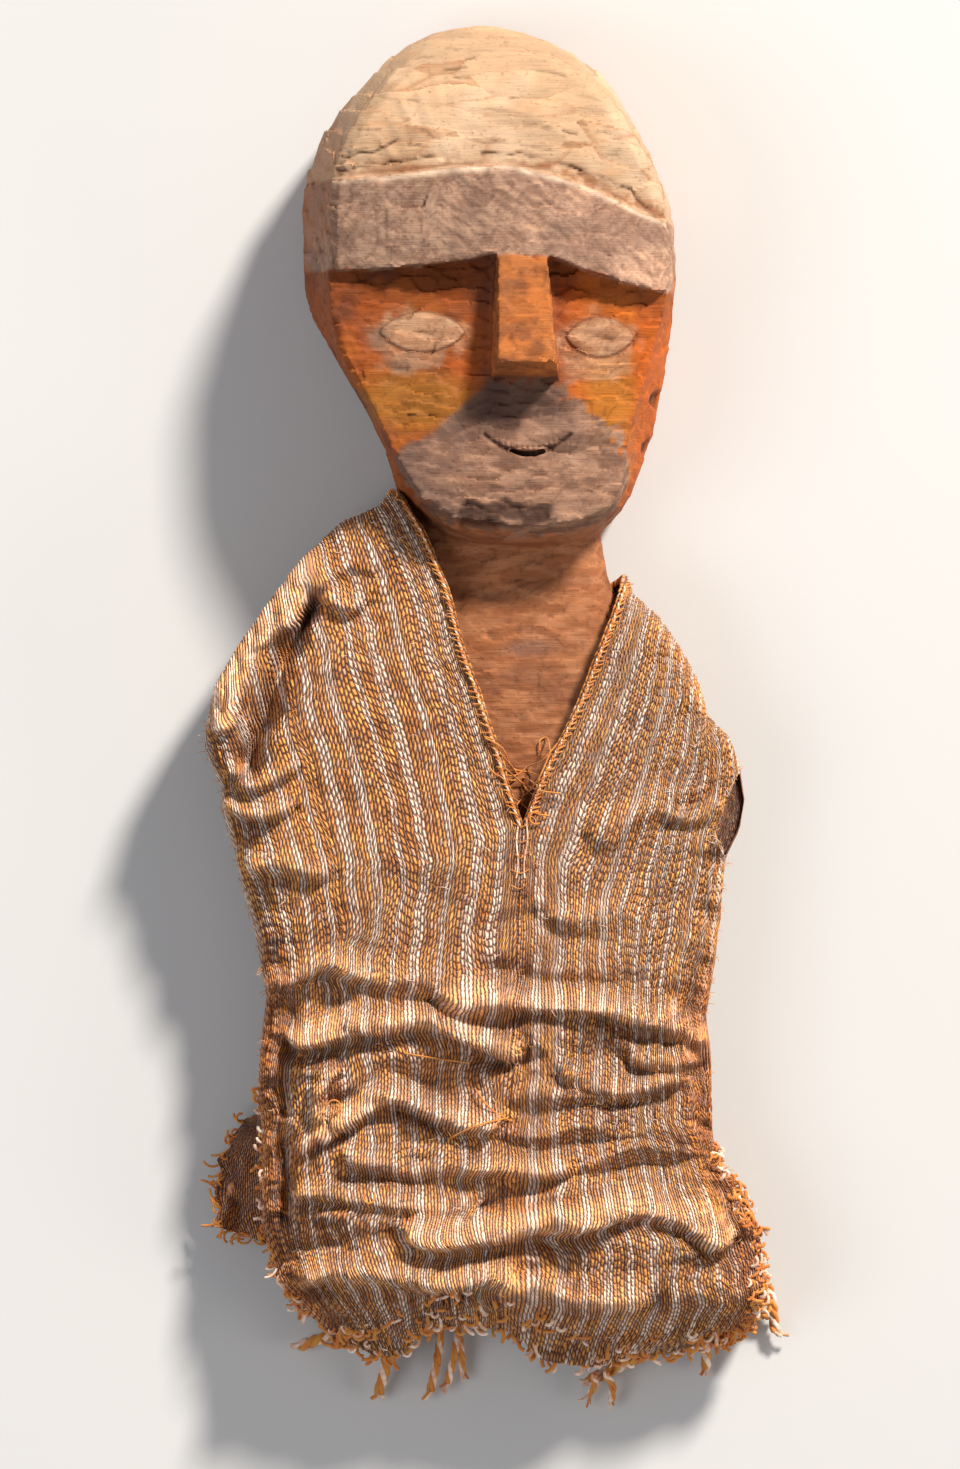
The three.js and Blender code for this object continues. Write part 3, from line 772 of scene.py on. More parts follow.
crestLine = {  # over the shoulder from the neck to the armhole
    "left": [
        (-36.5, 13), (-40, 13.2), (-44, 7), (-60, 0.2), (-76, -15), (-82, -23), (-91, -35), (-102, -51),
        (-110, -65), (-113, -79),
    ],
    "right": [(54.8, -21), (57, -28), (68, -38), (77, -51), (84, -65), (87, -77), (96, -86), (100, -98)],
}
hemCorner = {"left": (-60, -330), "right": (92, -328)}
armholeStep = 16  # where the outline reaches the armhole's top
outerLine = {  # from the hem's corner up the side to the armhole's top
    side: [hemCorner[side], *((x, y) for y, x in edge[1:armholeStep])] for side, edge in edges.items()
}
armholes = {  # its foot and top, and how far front and back stand apart
    "left": {"foot": -122, "top": -79, "front": 7, "back": -7},
    "right": {"foot": -136, "top": -98, "front": 6, "back": 0},
}
frontNotch = [(-134, 94), (-124, 88.4), (-113, 91.6), (-100, 99)]  # the front edge of the right armhole


def alongLine(line, share):  # points at shares of a line's length
    line = np.array(line, float)
    steps = np.r_[0, np.cumsum(np.hypot(*np.diff(line, axis=0).T))]
    at = share * steps[-1]
    return np.stack([np.interp(at, steps, line[:, 0]), np.interp(at, steps, line[:, 1])], -1)


def unit(vectors):
    return vectors / np.maximum(1e-9, np.linalg.norm(vectors, axis=-1, keepdims=True))


def bulge(share, power):
    return (1 - np.minimum(1, np.abs(share)) ** power) ** (1 / power)


def hemFall(y):
    return smooth(296, tunic["hemLine"], -y)


def tunicDepth(y):
    return mix(tunic["depth"], tunic["hemDepth"], hemFall(y) ** 1.5)


def sideShare(x, y):
    left, right = (np.interp(y, *zip(*edges[side])) for side in ("left", "right"))
    return (2 * x - left - right) / (right - left)


def foldField(points):  # height, ridge share, hollow share and sideways drift of the folds
    rise, crest, hollows, drift = np.zeros((4, len(points)))
    for number, (line, height, reach, hollow) in enumerate(folds):
        sag = (0, tunic["overhang"] * 0.9 * max(height, 0), 0)
        near, below = lineDistance(points - sag, rounded(line))
        across = near / (reach * tunic["foldWidth"])
        ridge = groove(across, 1)
        dip = np.where(below > 0, 1, 0.3) * np.exp(-((across - 1.5) ** 2) * 1.6) * (hollow > 0)
        swell = 1 + 0.25 * noise(points * 0.06, 500 + number)
        rise += tunic["foldHeight"] * height * ridge * swell - tunic["hollowDepth"] * hollow * dip
        # crest also sets the painted highlight on the ridges; hollows set the painted shade below them and
        # along sunken folds
        crest += max(height, 0) * ridge * swell
        hollows += 0.075 * hollow * dip + max(-height, 0) * ridge * 0.08
        drift += tunic["hollowDrift"] * hollow * dip * noise(points * (0.035, 0.01, 0), 540 + number)
    return rise, crest, hollows, drift


def frontSurface(plan):
    x, y = plan[:, 0], plan[:, 1]
    share = sideShare(x, y)
    shoulder = smooth(-110, -80, y) * (x < 0)
    lift = mix(bulge(share, 2.6), bulge(share, 4.5), np.maximum(shoulder, 0.4))
    flat = np.stack([x, y, np.zeros(len(x))], 1)
    swirl = np.stack([noise(flat * 0.05, 301), noise(flat * 0.05, 302), np.zeros(len(x))], 1) * 5
    rise, crest, hollows, drift = foldField(flat + swirl * 0.6)
    lower = smooth(150, 200, -y)
    crumple = 1 - np.abs(layers((flat + swirl) * (0.03, 0.085, 1), 321, 2)) * 2.2
    fine = layers((flat + swirl) * (0.035, 0.1, 1), 311, 3) + 1.0 * crumple * lower
    side = smooth(0.72, 0.95, np.abs(share))
    fine += 1.3 * side * layers(flat * (0.09, 0.14, 1), 331, 2)
    near = np.minimum(1, 2.4 * lift)
    rise = np.where(rise > 0, tunic["highestFold"] * np.tanh(rise / tunic["highestFold"]), rise)
    rise += 0.09 * np.minimum(crest, 9) * noise(flat * (0.24, 0.2, 1), 341)
    z = tunicDepth(y) / 2 * (1 + lift) + (rise + fine * mix(0.5, 1.1, lower) * tunic["wrinkle"]) * near
    drift += 1.1 * layers(flat * (0.04, 0.06, 1), 361, 2) * mix(0.4, 1.5, lower)
    drift += 0.45 * noise(flat * (0.1, 0.17, 1), 371)
    return z, crest * near, np.clip(hollows, 0, 1), drift


board = {  # the wooden body under the cloth, with y and both sides in each row
    "low": 4.6,
    "half": 22.5,
    "foot": -306,
    "rows": [
        (-306, -72, 72), (-290, -76, 76), (-220, -78, 77), (-150, -82, 80), (-95, -86, 78), (-60, -82, 68),
        (-36, -70, 53), (-20, -48, 47), (-6, -31, 45), (24, -30, 44),
    ],
    "clearance": 1.6,
}


def boardTop(x, y):
    at, left, right = zip(*board["rows"])
    low, high = np.interp(y, at, left), np.interp(y, at, right)
    share = np.minimum(1, np.abs((2 * x - low - high) / (high - low)))
    top = board["low"] + board["half"] * (1 + bulge(share, 4))
    return np.where((y > board["foot"]) & (share < 1), top, -10)


def panelGrid(side, rows, columns, isFront):
    a, w = np.meshgrid(columns, rows)
    a, w = a.ravel(), w.ravel()
    u = a ** mix(1.05, 1.3, smooth(0.35, 0.7, w)) if side == "left" else a
    u = 1 - (1 - u) ** mix(1.2 if isFront else 1.8, 1, smooth(0.75, 1, w))  # more yarns on the side walls
    v = 1 - (1 - w) ** 1.25
    seam = (innerLine if isFront else backLine)[side]
    inner = alongLine(seam, v)
    outer = alongLine(outerLine[side], v)
    crest = alongLine(crestLine[side], u)
    hemX = mix(seam[0][0], hemCorner[side][0], u)
    hemY = np.interp(hemX, *zip(*hemRows)) + (0 if isFront else tunic["shorterBack"])
    ends = [alongLine(seam, np.array([s]))[0] for s in (0, 1)]
    outs = [alongLine(outerLine[side], np.array([s]))[0] for s in (0, 1)]
    nearCorner = smooth(0.0, 0.05, np.where(u < 0.5, 0.05 - u, u - 0.95))
    hemY = mix(hemY, mix(ends[0][1], outs[0][1], u), nearCorner)
    over, along = u[:, None], v[:, None]
    plan = mix(inner, outer, over) + mix(np.stack([hemX, hemY], 1), crest, along)
    plan -= mix(mix(ends[0], outs[0], over), mix(ends[1], outs[1], over), along)
    return plan, a, w


def frontSheet(side, rows, columns):
    plan, a, w = panelGrid(side, rows, columns, True)
    z, crest, hollows, drift = frontSurface(plan)
    keep = np.maximum(smooth(0, 0.06, a), smooth(-118, -130, plan[:, 1]))
    keep *= smooth(0, 0.05, 1 - a) * smooth(0, 0.03, w) * smooth(0, 0.04, 1 - w)
    plan[:, 1] -= tunic["overhang"] * crest * keep
    plan[:, 0] += drift * keep
    if side == "right":
        notch = np.interp(plan[:, 1], *zip(*frontNotch), left=200, right=200)
        plan[:, 0] = mix(plan[:, 0], np.minimum(plan[:, 0], notch), smooth(0.7, 1, a))
    outside = smooth(0.8, 0.95, np.abs(sideShare(*plan.T))) * smooth(150, 200, -plan[:, 1])
    # fold colours: crest for the painted highlight, hollows for the painted shade, and the plain sides
    return plan, a, w, z, np.stack([np.clip(crest / 9, 0, 1), hollows, outside], 1)


def backSheet(side, rows, columns):
    plan, a, w = panelGrid(side, rows, columns, False)
    x, y = plan.T
    lift = bulge(sideShare(x, y), 5)
    uneven = layers(np.c_[plan, np.zeros(len(plan))] * (0.04, 0.09, 1), 350, 2)
    z = tunicDepth(y) / 2 * (1 - lift) + 1.0 + 0.4 * uneven * lift
    if side == "right":  # the back stands up behind the armhole
        window = smooth(-84, -98, y) * smooth(-150, -136, y) * smooth(81.5, 88, x)
        z = mix(z, np.maximum(z, 30.0), window)
    return plan, a, w, z, np.tile([0, 0, 0.8], (len(plan), 1))


def panelPoints(side):
    yarns = tunic["yarns"][side]
    columns = np.linspace(0, 1, yarns * 3 + 1)
    frontRows = np.linspace(0, 1, tunic["frontRows"])
    backRows = np.linspace(1, 0, tunic["backRows"])[1:]
    hole = armholes[side]
    sheets, shades = [], []
    for build, rows, face in ((frontSheet, frontRows, "front"), (backSheet, backRows, "back")):
        plan, a, w, z, shade = build(side, rows, columns)
        middle = tunicDepth(plan[:, 1]) / 2
        z = middle + (z - middle) * bulge(np.clip(w, 0, 1), 12)
        height = np.clip((plan[:, 1] - hole["foot"]) / (hole["top"] - hole["foot"]), 0, 1)
        z += np.sin(math.pi * height) * a**8 * hole[face]
        if face == "front":
            z = np.where(w < 0.985, np.maximum(z, boardTop(*plan.T) + board["clearance"]), z)
        sheets.append(np.c_[plan, z].reshape(len(rows), len(columns), 3))
        shades.append(shade.reshape(len(rows), len(columns), 3))
    base = np.concatenate(sheets)

    # normals of the smooth sheet, outwards
    alongYarn = np.gradient(base, axis=0)
    across = np.gradient(base, axis=1)
    normal = unit(np.cross(across, alongYarn) * (-1 if side == "left" else 1))
    steps = np.linalg.norm(np.diff(base, axis=0), axis=2)
    length = np.cumsum(np.r_[np.zeros((1, base.shape[1])), steps], axis=0)

    # yarns: each a rounded ridge that wanders a little by itself
    yarn = columns * yarns
    part = np.abs((yarn % 1) - 0.5) * 2  # 1 in the gap, 0 on the yarn's middle
    flat = np.stack([np.broadcast_to(np.floor(yarn + 0.5) * 7.3, length.shape), length * 0.13, 0 * length], 2)
    wander = noise(flat.reshape(-1, 3), 401).reshape(length.shape) * tunic["yarnWander"]
    swell = noise((flat * (1, 0.9, 1)).reshape(-1, 3), 402).reshape(length.shape) * tunic["yarnSwell"]
    sideways = unit(across)
    ridge = tunic["yarnHeight"] * np.sqrt(np.clip(1 - part**2, 0, 1))[None, :]
    base = base + sideways * wander[..., None] + normal * (ridge + swell)[..., None]
    return base, normal, sideways, yarn, length, np.concatenate(shades)


def turnUnder(base, normal, outward, axis):  # more rows that roll the first edge under
    edge, up = np.take(base, 0, axis), np.take(normal, 0, axis)
    rolls = [edge + outward * out - up * under for out, under in tunic["rolledEdge"]]
    return np.concatenate([np.stack(rolls, axis), base], axis)


def widened(values, axis):  # the first row again, once for each row that turnUnder adds
    return np.concatenate([np.take(values, [0] * len(tunic["rolledEdge"]), axis), values], axis)


def weave(name, grid, yarns, warp, shade, isLeft):  # a sheet mapped by yarn number and length
    rows, columns = grid.shape[:2]
    bpy.ops.mesh.primitive_grid_add(x_subdivisions=columns - 1, y_subdivisions=rows - 1, size=1)
    cloth = bpy.context.object
    cloth.name = name
    flat = readPoints(cloth)
    c = np.rint((flat[:, 0] + 0.5) * (columns - 1)).astype(int)
    r = np.rint((flat[:, 1] + 0.5) * (rows - 1)).astype(int)
    if isLeft:
        c = columns - 1 - c
    writePoints(cloth, place(grid[r, c]))
    uv = cloth.data.uv_layers.active or cloth.data.uv_layers.new(name="weave")
    uv.name = "weave"
    loops = np.zeros(len(cloth.data.loops), np.int32)
    cloth.data.loops.foreach_get("vertex_index", loops)
    values = np.stack([yarns[c[loops]], warp[r[loops], c[loops]]], 1)
    uv.data.foreach_set("uv", values.astype(np.float32).ravel())
    paint(cloth, "fold", shade[r, c])
    only(cloth)
    bpy.ops.object.shade_smooth()
    cloth.data.materials.append(cottonCloth)
    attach(cloth, "root")
    print(name, "is woven,", len(cloth.data.polygons), "faces")
    return cloth


def buildPanel(side):
    base, normal, sideways, yarn, length, shade = panelPoints(side)
    alongYarn = unit(np.gradient(base, axis=0))
    grid = turnUnder(base, normal, -sideways[:, 0], 1)
    grid = turnUnder(grid, widened(normal, 1), -widened(alongYarn, 1)[0], 0)
    grid[..., 2] = np.maximum(grid[..., 2], 0.1)
    yarns = np.r_[[0.1, 0.4, 0.7], yarn + 1]
    warp = widened(length, 1) + 4
    warp = np.concatenate([warp[:1] - 3, warp[:1] - 2, warp[:1] - 1, warp], 0)
    shade = widened(widened(shade, 1), 0)
    panel = weave(side + "TunicPanel", grid, yarns, warp, shade, side == "left")
    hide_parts(side + "_panel")
    width = tunic["yarns"][side] * tunic["pitch"] / 1000
    flatSizes[side] = (round(width, 3), round(float(length[-1].mean()) / 1000, 2))
    print(side, "panel would lie flat at", flatSizes[side])
    return panel, base


cotton = {
    "gold": tone(255, 188, 98),
    # brown is also the painted shade on the flanks of gold stitches
    "brown": tone(208, 118, 54),
    "white": tone(255, 233, 212),
    # dim is also the painted shade on the flanks of white stitches
    "dim": tone(216, 158, 124),
    # painted shade between the yarns
    "gapShade": tone(60, 24, 9),
    "endGold": tone(214, 150, 70),
    "stitch": 3.5,  # length of a stitch in millimetres
    "nest": 0.07,
    "period": 7.2,  # yarns from one white stripe to the next
    "border": 4.5,  # golden yarns at the seam
    "whiteShare": (0.3, 0.44),
    "roundness": 2.2,
    "endRoundness": 2.6,
    "relief": 0.0017,
}


def clothMaterial():
    make = Maker("stripedCotton")
    calc, add, minus, times = make.math, make.add, make.minus, make.times
    yarnAt, warpAt, _ = make.parts(make.node("ShaderNodeUVMap", uv_map="weave").outputs[0])
    slack = make.spread(make.grain(0.05, (1, 0.7, 1), 1, "UV"), 0.2, 0.8, -0.45, 0.45)
    fold = make.node("ShaderNodeAttribute", attribute_name="fold").outputs["Color"]
    onRidge, inHollow, outside = make.parts(fold)

    # neighbouring yarns swell in turn, so their stitches lock together
    row = add(calc("DIVIDE", warpAt, cotton["stitch"]), slack)
    swelling = times(calc("SINE", times(row, 2 * math.pi)), calc("COSINE", times(yarnAt, math.pi)))
    across = add(yarnAt, times(swelling, cotton["nest"]))
    index = calc("FLOOR", across)
    part = minus(calc("FRACT", across), 0.5)
    own = make.lot({"W": index}, "1D")
    odd = add(add(times(calc("MODULO", index, 2.0), 0.5), 0.25), times(own, 0.45))
    slant = add(add(row, odd), times(part, 0.3))
    stitch = calc("FLOOR", slant)
    bead = minus(calc("FRACT", slant), 0.5)

    # a stitch is round across the yarn and sunk at both ends
    narrow = calc("POWER", calc("ABSOLUTE", times(part, 2.0)), cotton["roundness"])
    ends = calc("POWER", calc("ABSOLUTE", times(bead, 2.0)), cotton["endRoundness"])
    ply = calc("SINE", times(add(times(slant, 2.0), times(part, 1.3)), 2 * math.pi))
    loose = make.spread(make.grain(35.0, (1, 1, 1), 2), 0.35, 0.65, 0.7, 1.0)  # how deep the stitches bite
    taut = calc("MAXIMUM", 0.0, minus(1.0, add(times(inHollow, 0.8), times(onRidge, 0.7))))
    bite = minus(1.0, times(ends, times(loose, taut)))
    height = add(times(minus(1.0, narrow), bite), times(ply, 0.07))

    # white stripes, with single stitches of the other colour
    pair = make.node("ShaderNodeCombineXYZ", {0: index, 1: stitch}).outputs[0]
    each, bright = make.lot({"Vector": pair}, "2D"), make.lot({"Vector": pair}, "3D")
    phase = calc("FRACT", calc("DIVIDE", add(index, 0.5), cotton["period"]))
    striped = calc("LESS_THAN", phase, make.spread(own, 0, 1, *cotton["whiteShare"]))
    striped = times(striped, calc("GREATER_THAN", index, cotton["border"]))
    swapped = times(calc("GREATER_THAN", each, 0.88), 0.65)
    isWhite = times(calc("ABSOLUTE", minus(striped, swapped)), minus(1.0, times(outside, 0.75)))

    # painted light on each stitch: the top lighter, the flanks darker as painted shade, brown on gold yarns
    # and dim on white ones
    stitchTopLight = make.spread(height, 0.3, 0.95)
    zones = make.grain(48.0, (0.9, 2.0, 1), 3)
    gold = make.blend(stitchTopLight, rgba(cotton["brown"]), rgba(cotton["gold"]))
    gold = make.blend(make.spread(each, 0.1, 1, 0.0, 0.95), gold, make.tinted(gold, (0.62, 0.48, 0.38)))
    patch = make.tinted(gold, (0.62, 0.49, 0.4))
    gold = make.blend(make.spread(zones, 0.46, 0.64, 0.0, 0.85), gold, patch)
    white = make.blend(stitchTopLight, rgba(cotton["dim"]), rgba(cotton["white"]))
    white = make.blend(make.spread(each, 0.2, 1, 0.0, 0.6), white, rgba(cotton["dim"]))
    yarn = make.blend(isWhite, gold, white)
    yarn = make.blend(make.spread(bright, 0.5, 1.0, 0.0, 0.9), yarn, make.tinted(yarn, (1.4, 1.36, 1.3)))
    # painted shade between the yarns
    gapShade = times(make.spread(height, 0.02, 0.6, 1.0, 0.0), 0.82)
    colour = make.blend(gapShade, yarn, rgba(cotton["gapShade"]))
    # painted highlight on the fold crests: a brighter, slightly whitened copy of the colour
    lit = make.blend(0.22, make.tinted(colour, (1.5, 1.42, 1.3)), rgba(cotton["white"]))
    colour = make.blend(make.spread(onRidge, 0.2, 0.9, 0.0, 1.0), colour, lit)
    # painted shade in the hollows below the folds
    colour = make.blend(times(inHollow, 0.45), colour, make.tinted(colour, (0.58, 0.5, 0.5)))
    colour = make.blend(outside, colour, make.tinted(colour, (0.88, 0.72, 0.6)))
    make.plug(make.shader.inputs["Base Color"], colour)
    make.fibrous(0.2)
    make.shader.inputs["Sheen Roughness"].default_value = 0.6
    lint = make.grain(1600.0, (1, 1, 1), 3)
    make.bump(add(height, times(lint, 0.25)), cotton["relief"])
    return make.material


def yarnMaterial(name, bright, shade):
    make = Maker(name)
    mottle = make.grain(260.0, (1, 1, 1), 3)
    fine = make.grain(1500.0, (1, 1, 1), 3)
    colour = make.blend(make.spread(mottle, 0.35, 0.65), rgba(shade), rgba(bright))
    make.plug(make.shader.inputs["Base Color"], colour)
    make.fibrous(0.25)
    make.bump(fine, 0.0004, 0.8)
    return make.material


cottonCloth = clothMaterial()
whiteYarn = yarnMaterial("whiteYarn", cotton["white"], cotton["dim"])
goldYarn = yarnMaterial("goldYarn", cotton["endGold"], cotton["brown"])

panels, surfaces, flatSizes = {}, {}, {}
for side in ("left", "right"):
    panels[side], surfaces[side] = buildPanel(side)

# fringe, tassels and thread
thread = {
    "yarn": 0.62,  # radius of a warp yarn
    "fine": 0.3,
    "fuzz": 0.11,
    "fuzzCount": 520,
    "hemEnds": 210,
    "binding": 0.38,
    "bindingStitches": 60,
}
hemEnd = {"bend": (0.6, 4.6), "sink": (-0.5, -7), "length": (3, 8), "lift": (-0.3, 0.8), "width": (0.9, 1.3)}
edgeEnd = {"bend": (0.5, 4.5), "sink": (-4, 1), "length": (2.5, 6.5), "lift": (0, 0.9), "width": (0.8, 1.25)}
edgeFringe = {  # loops down the outer edge: between which y, how many, and how many columns inward
    "left": {"low": -318, "high": -226, "count": 60, "inward": 6, "heading": math.pi},
    "right": {"low": -332, "high": -250, "count": 230, "inward": 26, "heading": 0},
}
chance = random.Random(12)
clothPoints = np.concatenate([surfaces[side][: tunic["frontRows"]].reshape(-1, 3) for side in surfaces])


def onCloth(line, over):  # lays points (x, y) on the front of the cloth, or on the wood beside it
    laid = []
    for x, y in line:
        near = np.hypot(clothPoints[:, 0] - x, clothPoints[:, 1] - y)
        close = clothPoints[near < 2.2, 2]
        top = close.max() if len(close) else max(50.0, float(boardTop(np.array([x]), np.array([y]))[0]))
        laid.append((x, y, top + over))
    return laid


def drawn(points, steps=4):
    return rounded([tuple(p) for p in points], steps)


def twist(points, plies, reach, turn):  # the plies of a cord round its middle line
    points = drawn(points, 6)
    steps = np.cumsum(np.r_[0, np.linalg.norm(np.diff(points, axis=0), axis=1)])
    forward = np.gradient(points, axis=0)
    forward /= np.linalg.norm(forward, axis=1, keepdims=True)
    aside = np.cross(forward, (0, 0, 1.0))
    aside /= np.maximum(1e-6, np.linalg.norm(aside, axis=1, keepdims=True))
    up = np.cross(aside, forward)
    made = []
    for ply in range(plies):
        angle = 2 * math.pi * (ply / plies + steps / turn)
        swell = reach * np.minimum(1, 0.5 + steps / 5)[:, None]
        made.append(points + swell * (np.cos(angle)[:, None] * aside + np.sin(angle)[:, None] * up))
    return made


def strands(name, lines):  # round yarns from their points, radius and 0 for white or 1 for gold
    data = bpy.data.curves.new(name, "CURVE")
    data.dimensions = "3D"
    data.bevel_depth = 0.001
    data.bevel_resolution = 1
    data.use_fill_caps = True
    data.materials.append(whiteYarn)
    data.materials.append(goldYarn)
    for points, radius, shade in lines:
        points = np.asarray(points, float)
        points[:, 2] = np.maximum(points[:, 2], radius + 0.1)
        spline = data.splines.new("POLY")
        spline.points.add(len(points) - 1)
        spline.points.foreach_set("co", np.c_[place(points), np.ones(len(points))].astype(np.float32).ravel())
        spline.points.foreach_set("radius", np.full(len(points), radius, np.float32))
        spline.material_index = shade
        spline.use_smooth = True
    made = bpy.data.objects.new(name, data)
    bpy.context.collection.objects.link(made)
    only(made)
    bpy.ops.object.convert(target="MESH")
    made = bpy.context.object
    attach(made, "root")
    print(name, "has", len(lines), "yarns,", len(made.data.polygons), "faces")
    return made


def curl(start, heading, length, bend, lift, count=6):  # a short loose end that turns as it goes
    points = [np.array(start, float)]
    for k in range(count):
        step = np.array([math.cos(heading), math.sin(heading), lift * (1 - 2 * k / count)]) * length / count
        points.append(points[-1] + step)
        heading += bend / count
    return points


def tassel(x, y, tipX, tipY, reach, high=12.0):
    middle = ((x + tipX) / 2 + 1.5, (y + tipY) / 2 + 1, high * 0.75)
    path = [(x, y + 2, high + 3), (x, y, high), middle, (tipX, tipY, high * 0.45)]
    lines = []
    for number, ply in enumerate(twist(path, 3, reach * 0.5, 13)):
        lines.append((ply, reach * 0.5, 0 if number == 0 else 1))
        heading = math.atan2(tipY - y, tipX - x) + chance.uniform(-0.7, 0.7)
        end = curl(ply[-1], heading, chance.uniform(2, 5), chance.uniform(-1, 1), 0.1, 4)
        lines.append((end, reach * 0.3, number % 2))
    return lines


tassels = {  # start, tip and reach
    "left": [
        (-54, -324, -76, -331, 2.6), (-42, -331, -45, -350, 2.4), (-20, -318, -24, -349, 2.0),
        (-13, -317, -17, -346, 1.8), (-16, -318, -11, -342, 1.6),
    ],
    "right": [
        (66, -333, 40, -345, 2.8), (47, -343, 49, -353, 1.6), (42, -344, 40, -351, 1.5),
        (84, -325, 87, -340, 2.2), (98, -312, 112, -319, 2.6), (108, -298, 115, -325, 2.4),
    ],
}


def frayed(at, heading, end):  # one loose end or loop of a warp yarn
    bend = chance.choice((-1, 1)) * chance.uniform(*end["bend"])
    start = at + (0, 0, chance.uniform(*end["sink"]))
    length, lift = chance.uniform(*end["length"]), chance.uniform(*end["lift"])
    line = drawn(curl(start, heading, length, bend, lift), 2)
    return line, thread["yarn"] * chance.uniform(*end["width"]), chance.choice((0, 1, 1))


def fringe(side):
    base = surfaces[side]
    lines = []
    for x, y, tipX, tipY, reach in tassels[side]:
        lines += tassel(x, y, tipX, tipY, reach)
    columns = base.shape[1]
    for _ in range(thread["hemEnds"]):
        at = base[int(chance.random() ** 1.5 * 14), chance.randint(4, columns - 2)]
        lines.append(frayed(at, chance.uniform(-2.8, -0.4), hemEnd))
    edge = edgeFringe[side]
    for _ in range(edge["count"]):  # thicker to the foot
        column = columns - 3 - int(edge["inward"] * chance.random() ** 1.7)
        outer = [p for p in base[: tunic["frontRows"], column] if edge["low"] < p[1] < edge["high"]]
        at = outer[int(len(outer) * min(0.999, chance.random() ** 1.5))]
        lines.append(frayed(at, edge["heading"] + chance.uniform(-1.5, 1.5), edgeEnd))
    for _ in range(thread["fuzzCount"]):  # lint
        atEdge = chance.random() < 0.35
        row = chance.randint(0, tunic["frontRows"] - 10)
        column = columns - 1 - chance.randint(0, 6) if atEdge else chance.randint(3, columns - 3)
        heading, length = chance.uniform(0, 6.28), chance.uniform(1.5, 4)
        line = curl(base[row, column], heading, length, chance.uniform(-3, 3), 0.9, 3)
        lines.append((line, thread["fuzz"], chance.choice((0, 1))))
    return strands(side + "Fringe", lines)


def bindings():  # two yarns along the V, caught down by fine golden stitches
    lines = []
    count = thread["bindingStitches"]
    for side, way in (("left", -1), ("right", 1)):
        path = alongLine(innerLine[side][2:], np.linspace(0, 1, count))
        lifted = np.array(onCloth([(x + way * 0.9, y) for x, y in path], 0.5))
        lifted[:, 2] = np.convolve(np.pad(lifted[:, 2], 3, mode="edge"), np.ones(7) / 7, mode="valid")
        for number, ply in enumerate(twist(lifted[::3], 2, 0.36, 5)):
            lines.append((ply, thread["binding"], number))
        for k in range(2, count - 2):
            x, y, z = lifted[k]
            foot = (x + way * chance.uniform(1.4, 3.4), y + chance.uniform(0, 2))
            line = [(x - way, y - 0.6, z - 0.6), (x, y, z + 0.6), onCloth([foot], 0.2)[0]]
            lines.append((drawn(line, 3), thread["fine"] * chance.uniform(0.8, 1.1), 1))
    return strands("neckBinding", lines)


seam = {"x": 13, "y": -121, "lean": 0.04}  # its top, at the point of the V


def seamX(y):
    return seam["x"] - seam["lean"] * (seam["y"] - y)


def seamThread():  # the binding yarns run on down the seam, laced together
    lines = []
    for way in (-1, 1):
        rows = [(seam["y"] - 3.0 * k, way * (1.7 + 0.5 * math.sin(0.9 * k))) for k in range(-1, 8)]
        path = [(seamX(y) + aside, y) for y, aside in rows]
        lines.append((drawn(onCloth(path, 0.0), 2), thread["yarn"] * 0.6, 0))
    for k in range(0, 9, 2):
        y = seam["y"] - 3.1 * k
        line = [(seamX(y) - chance.uniform(2, 4), y + 1), (seamX(y), y - 0.5)]
        line.append((seamX(y) + chance.uniform(2, 4), y + chance.uniform(0, 2)))
        lines.append((drawn(onCloth(line, 0.3), 3), thread["fine"] * 0.8, 1))
    return strands("seamThread", lines)


def looseThreads():  # golden ends that cross the point of the V
    routes = [
        [(-2, -86), (5, -90), (9, -98), (17, -100), (24, -103)],
        [(27, -88), (21, -95), (16, -97), (10, -101), (3, -100)],
        [(4, -92), (10, -99), (15, -107), (22, -111)],
        [(24, -92), (19, -103), (13, -110), (8, -116)],
        [(6, -98), (13, -104), (20, -107), (28, -108)],
        [(3, -104), (12, -112), (18, -116), (24, -117)],
        [(20, -91), (20, -87), (23, -86), (24, -91)],
        [(-1, -97), (3, -101), (9, -103), (14, -102), (19, -105)],
        [(-34, -212), (-22, -214), (-8, -216)],
        [(-6, -226), (0, -234), (8, -239)],
        [(-16, -246), (-6, -241), (6, -238)],
    ]
    lines = [(drawn(onCloth(route, 0.9), 4), thread["fine"] * 1.15, 1) for route in routes]
    for x, y in ((-50, -268), (-34, -278), (-38, 10), (20, -116), (-62, -236)):
        at = onCloth([(x, y)], 0.4)[0]
        lines.append((drawn(curl(at, chance.uniform(0, 6), chance.uniform(7, 12), 4.5, 0.25), 2), 0.4, 1))
    return strands("looseThreads", lines)


flapShape = {
    "rows": 44,
    "yarns": 24,
    "length": 55,
    "inner": [(-84, -292), (-88, -262), (-90, -236)],
    "outer": [(-108, -283), (-111, -272), (-109, -258), (-101, -240)],
    "height": 15,
    "ruffle": 5,
    "thickness": 1.8,
    "firstYarn": 110,
    "looseEnds": 40,
}


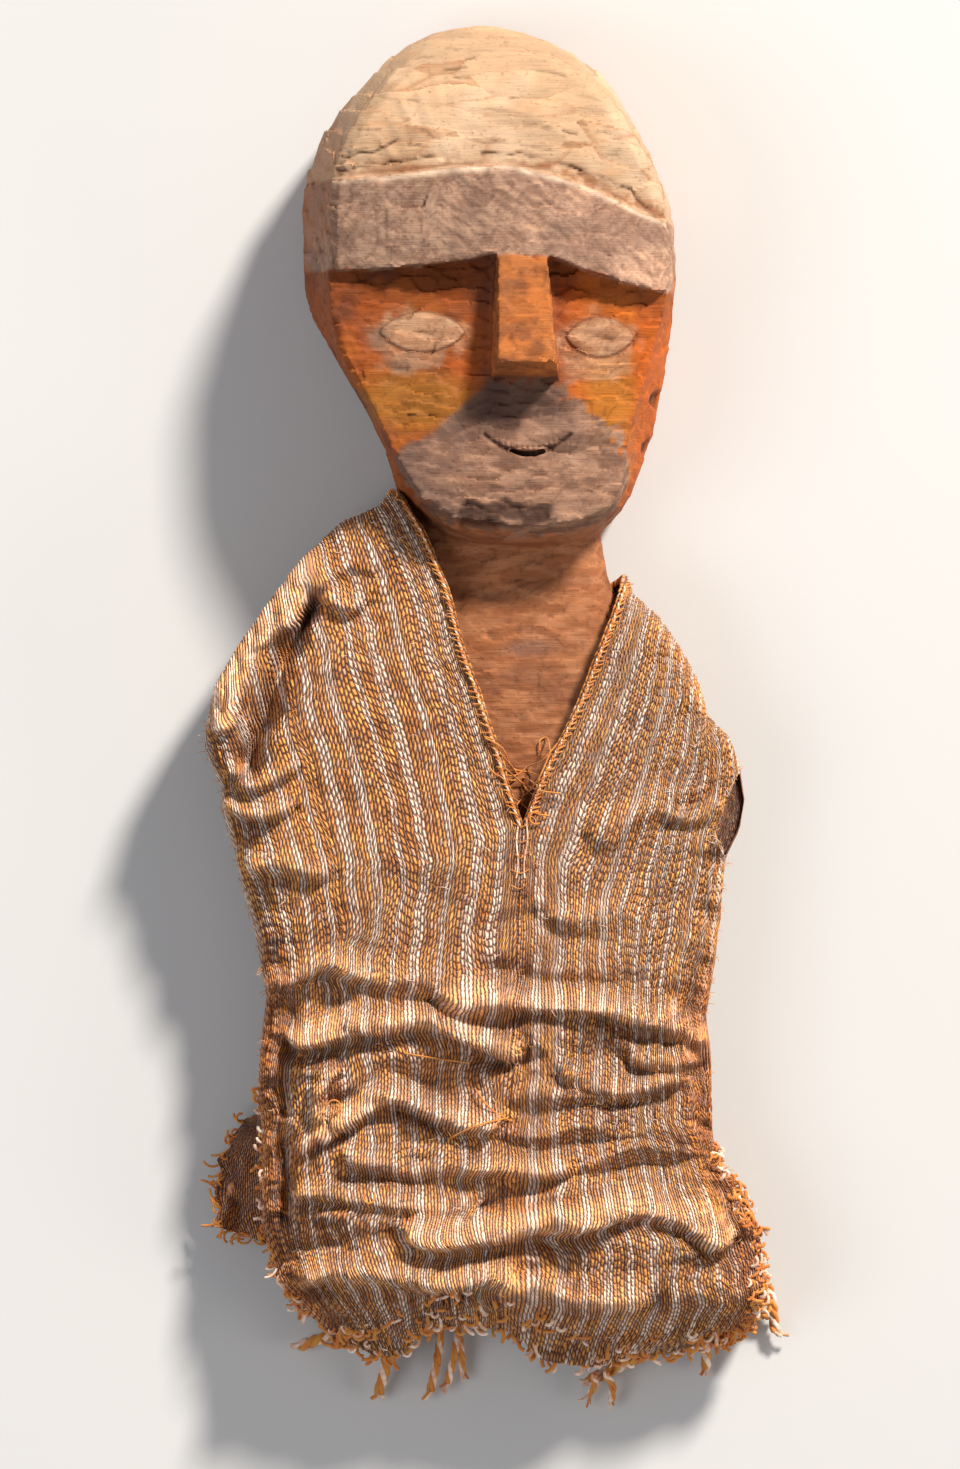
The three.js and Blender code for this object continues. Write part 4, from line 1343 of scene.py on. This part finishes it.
def leftFlap():  # a torn corner of the back that stands out below the left side
    rows, yarnCount = flapShape["rows"], flapShape["yarns"]
    v, u = np.meshgrid(np.linspace(0, 1, rows), np.linspace(0, 1, yarnCount * 3 + 1), indexing="ij")
    inner, outer = (alongLine(flapShape[edge], v.ravel()).reshape(*v.shape, 2) for edge in ("inner", "outer"))
    plan = mix(inner, outer, u[..., None])
    flat = np.c_[plan.reshape(-1, 2), np.zeros(v.size)]
    ruffle = layers(flat * (0.12, 0.09, 1), 611, 2).reshape(v.shape)
    ridge = 0.6 * np.sqrt(np.clip(1 - (np.abs((u * yarnCount) % 1 - 0.5) * 2) ** 2, 0, 1))
    z = flapShape["height"] + flapShape["ruffle"] * ruffle * (0.3 + u) - 3 * u + ridge
    plan[..., 0] -= 2.2 * layers(flat * 0.16, 620, 2).reshape(v.shape) * u**2
    top = np.dstack([plan, z])
    grid = np.concatenate([top, top[:, ::-1] - (0, 0, flapShape["thickness"])], 1)
    shade = np.tile([0, 0, 0.9], (*grid.shape[:2], 1))
    yarns = np.r_[u[0] * yarnCount, u[0][::-1] * yarnCount + 30] + flapShape["firstYarn"]
    warp = np.repeat(np.linspace(0, flapShape["length"], rows)[:, None], grid.shape[1], 1)
    flap = weave("leftFlap", grid, yarns, warp, shade, True)
    inEdit(bpy.ops.mesh.normals_make_consistent, everything=True, inside=False)
    lines = []
    for _ in range(flapShape["looseEnds"]):
        if chance.random() < 0.6:
            at = top[chance.randint(0, rows - 1), -1 - chance.randint(0, 4)]
        else:
            at = top[0, chance.randint(4, 70)]
        line = curl(at, chance.uniform(2.2, 4.4), chance.uniform(3, 8), chance.uniform(-4, 4), 0.3)
        lines.append((drawn(line, 2), thread["yarn"] * 0.8, 1))
    lines += tassel(-104, -268, -109, -280, 1.8, 14)
    return flap, strands("flapFringe", lines)


leftFringe, rightFringe = fringe("left"), fringe("right")
neckBinding, seamYarns, looseEnds = bindings(), seamThread(), looseThreads()
flap, flapFringe = leftFlap()

# floor
ground = {"size": 6, "colour": (0.62, 0.61, 0.6, 1), "roughness": 0.9}
bpy.ops.mesh.primitive_plane_add(size=ground["size"], location=(0, 0, 0))
floor = bpy.context.object
floor.name = "floor"
make = Maker("paleFloor")
make.shader.inputs["Base Color"].default_value = ground["colour"]
make.shader.inputs["Roughness"].default_value = ground["roughness"]
floor.data.materials.append(make.material)
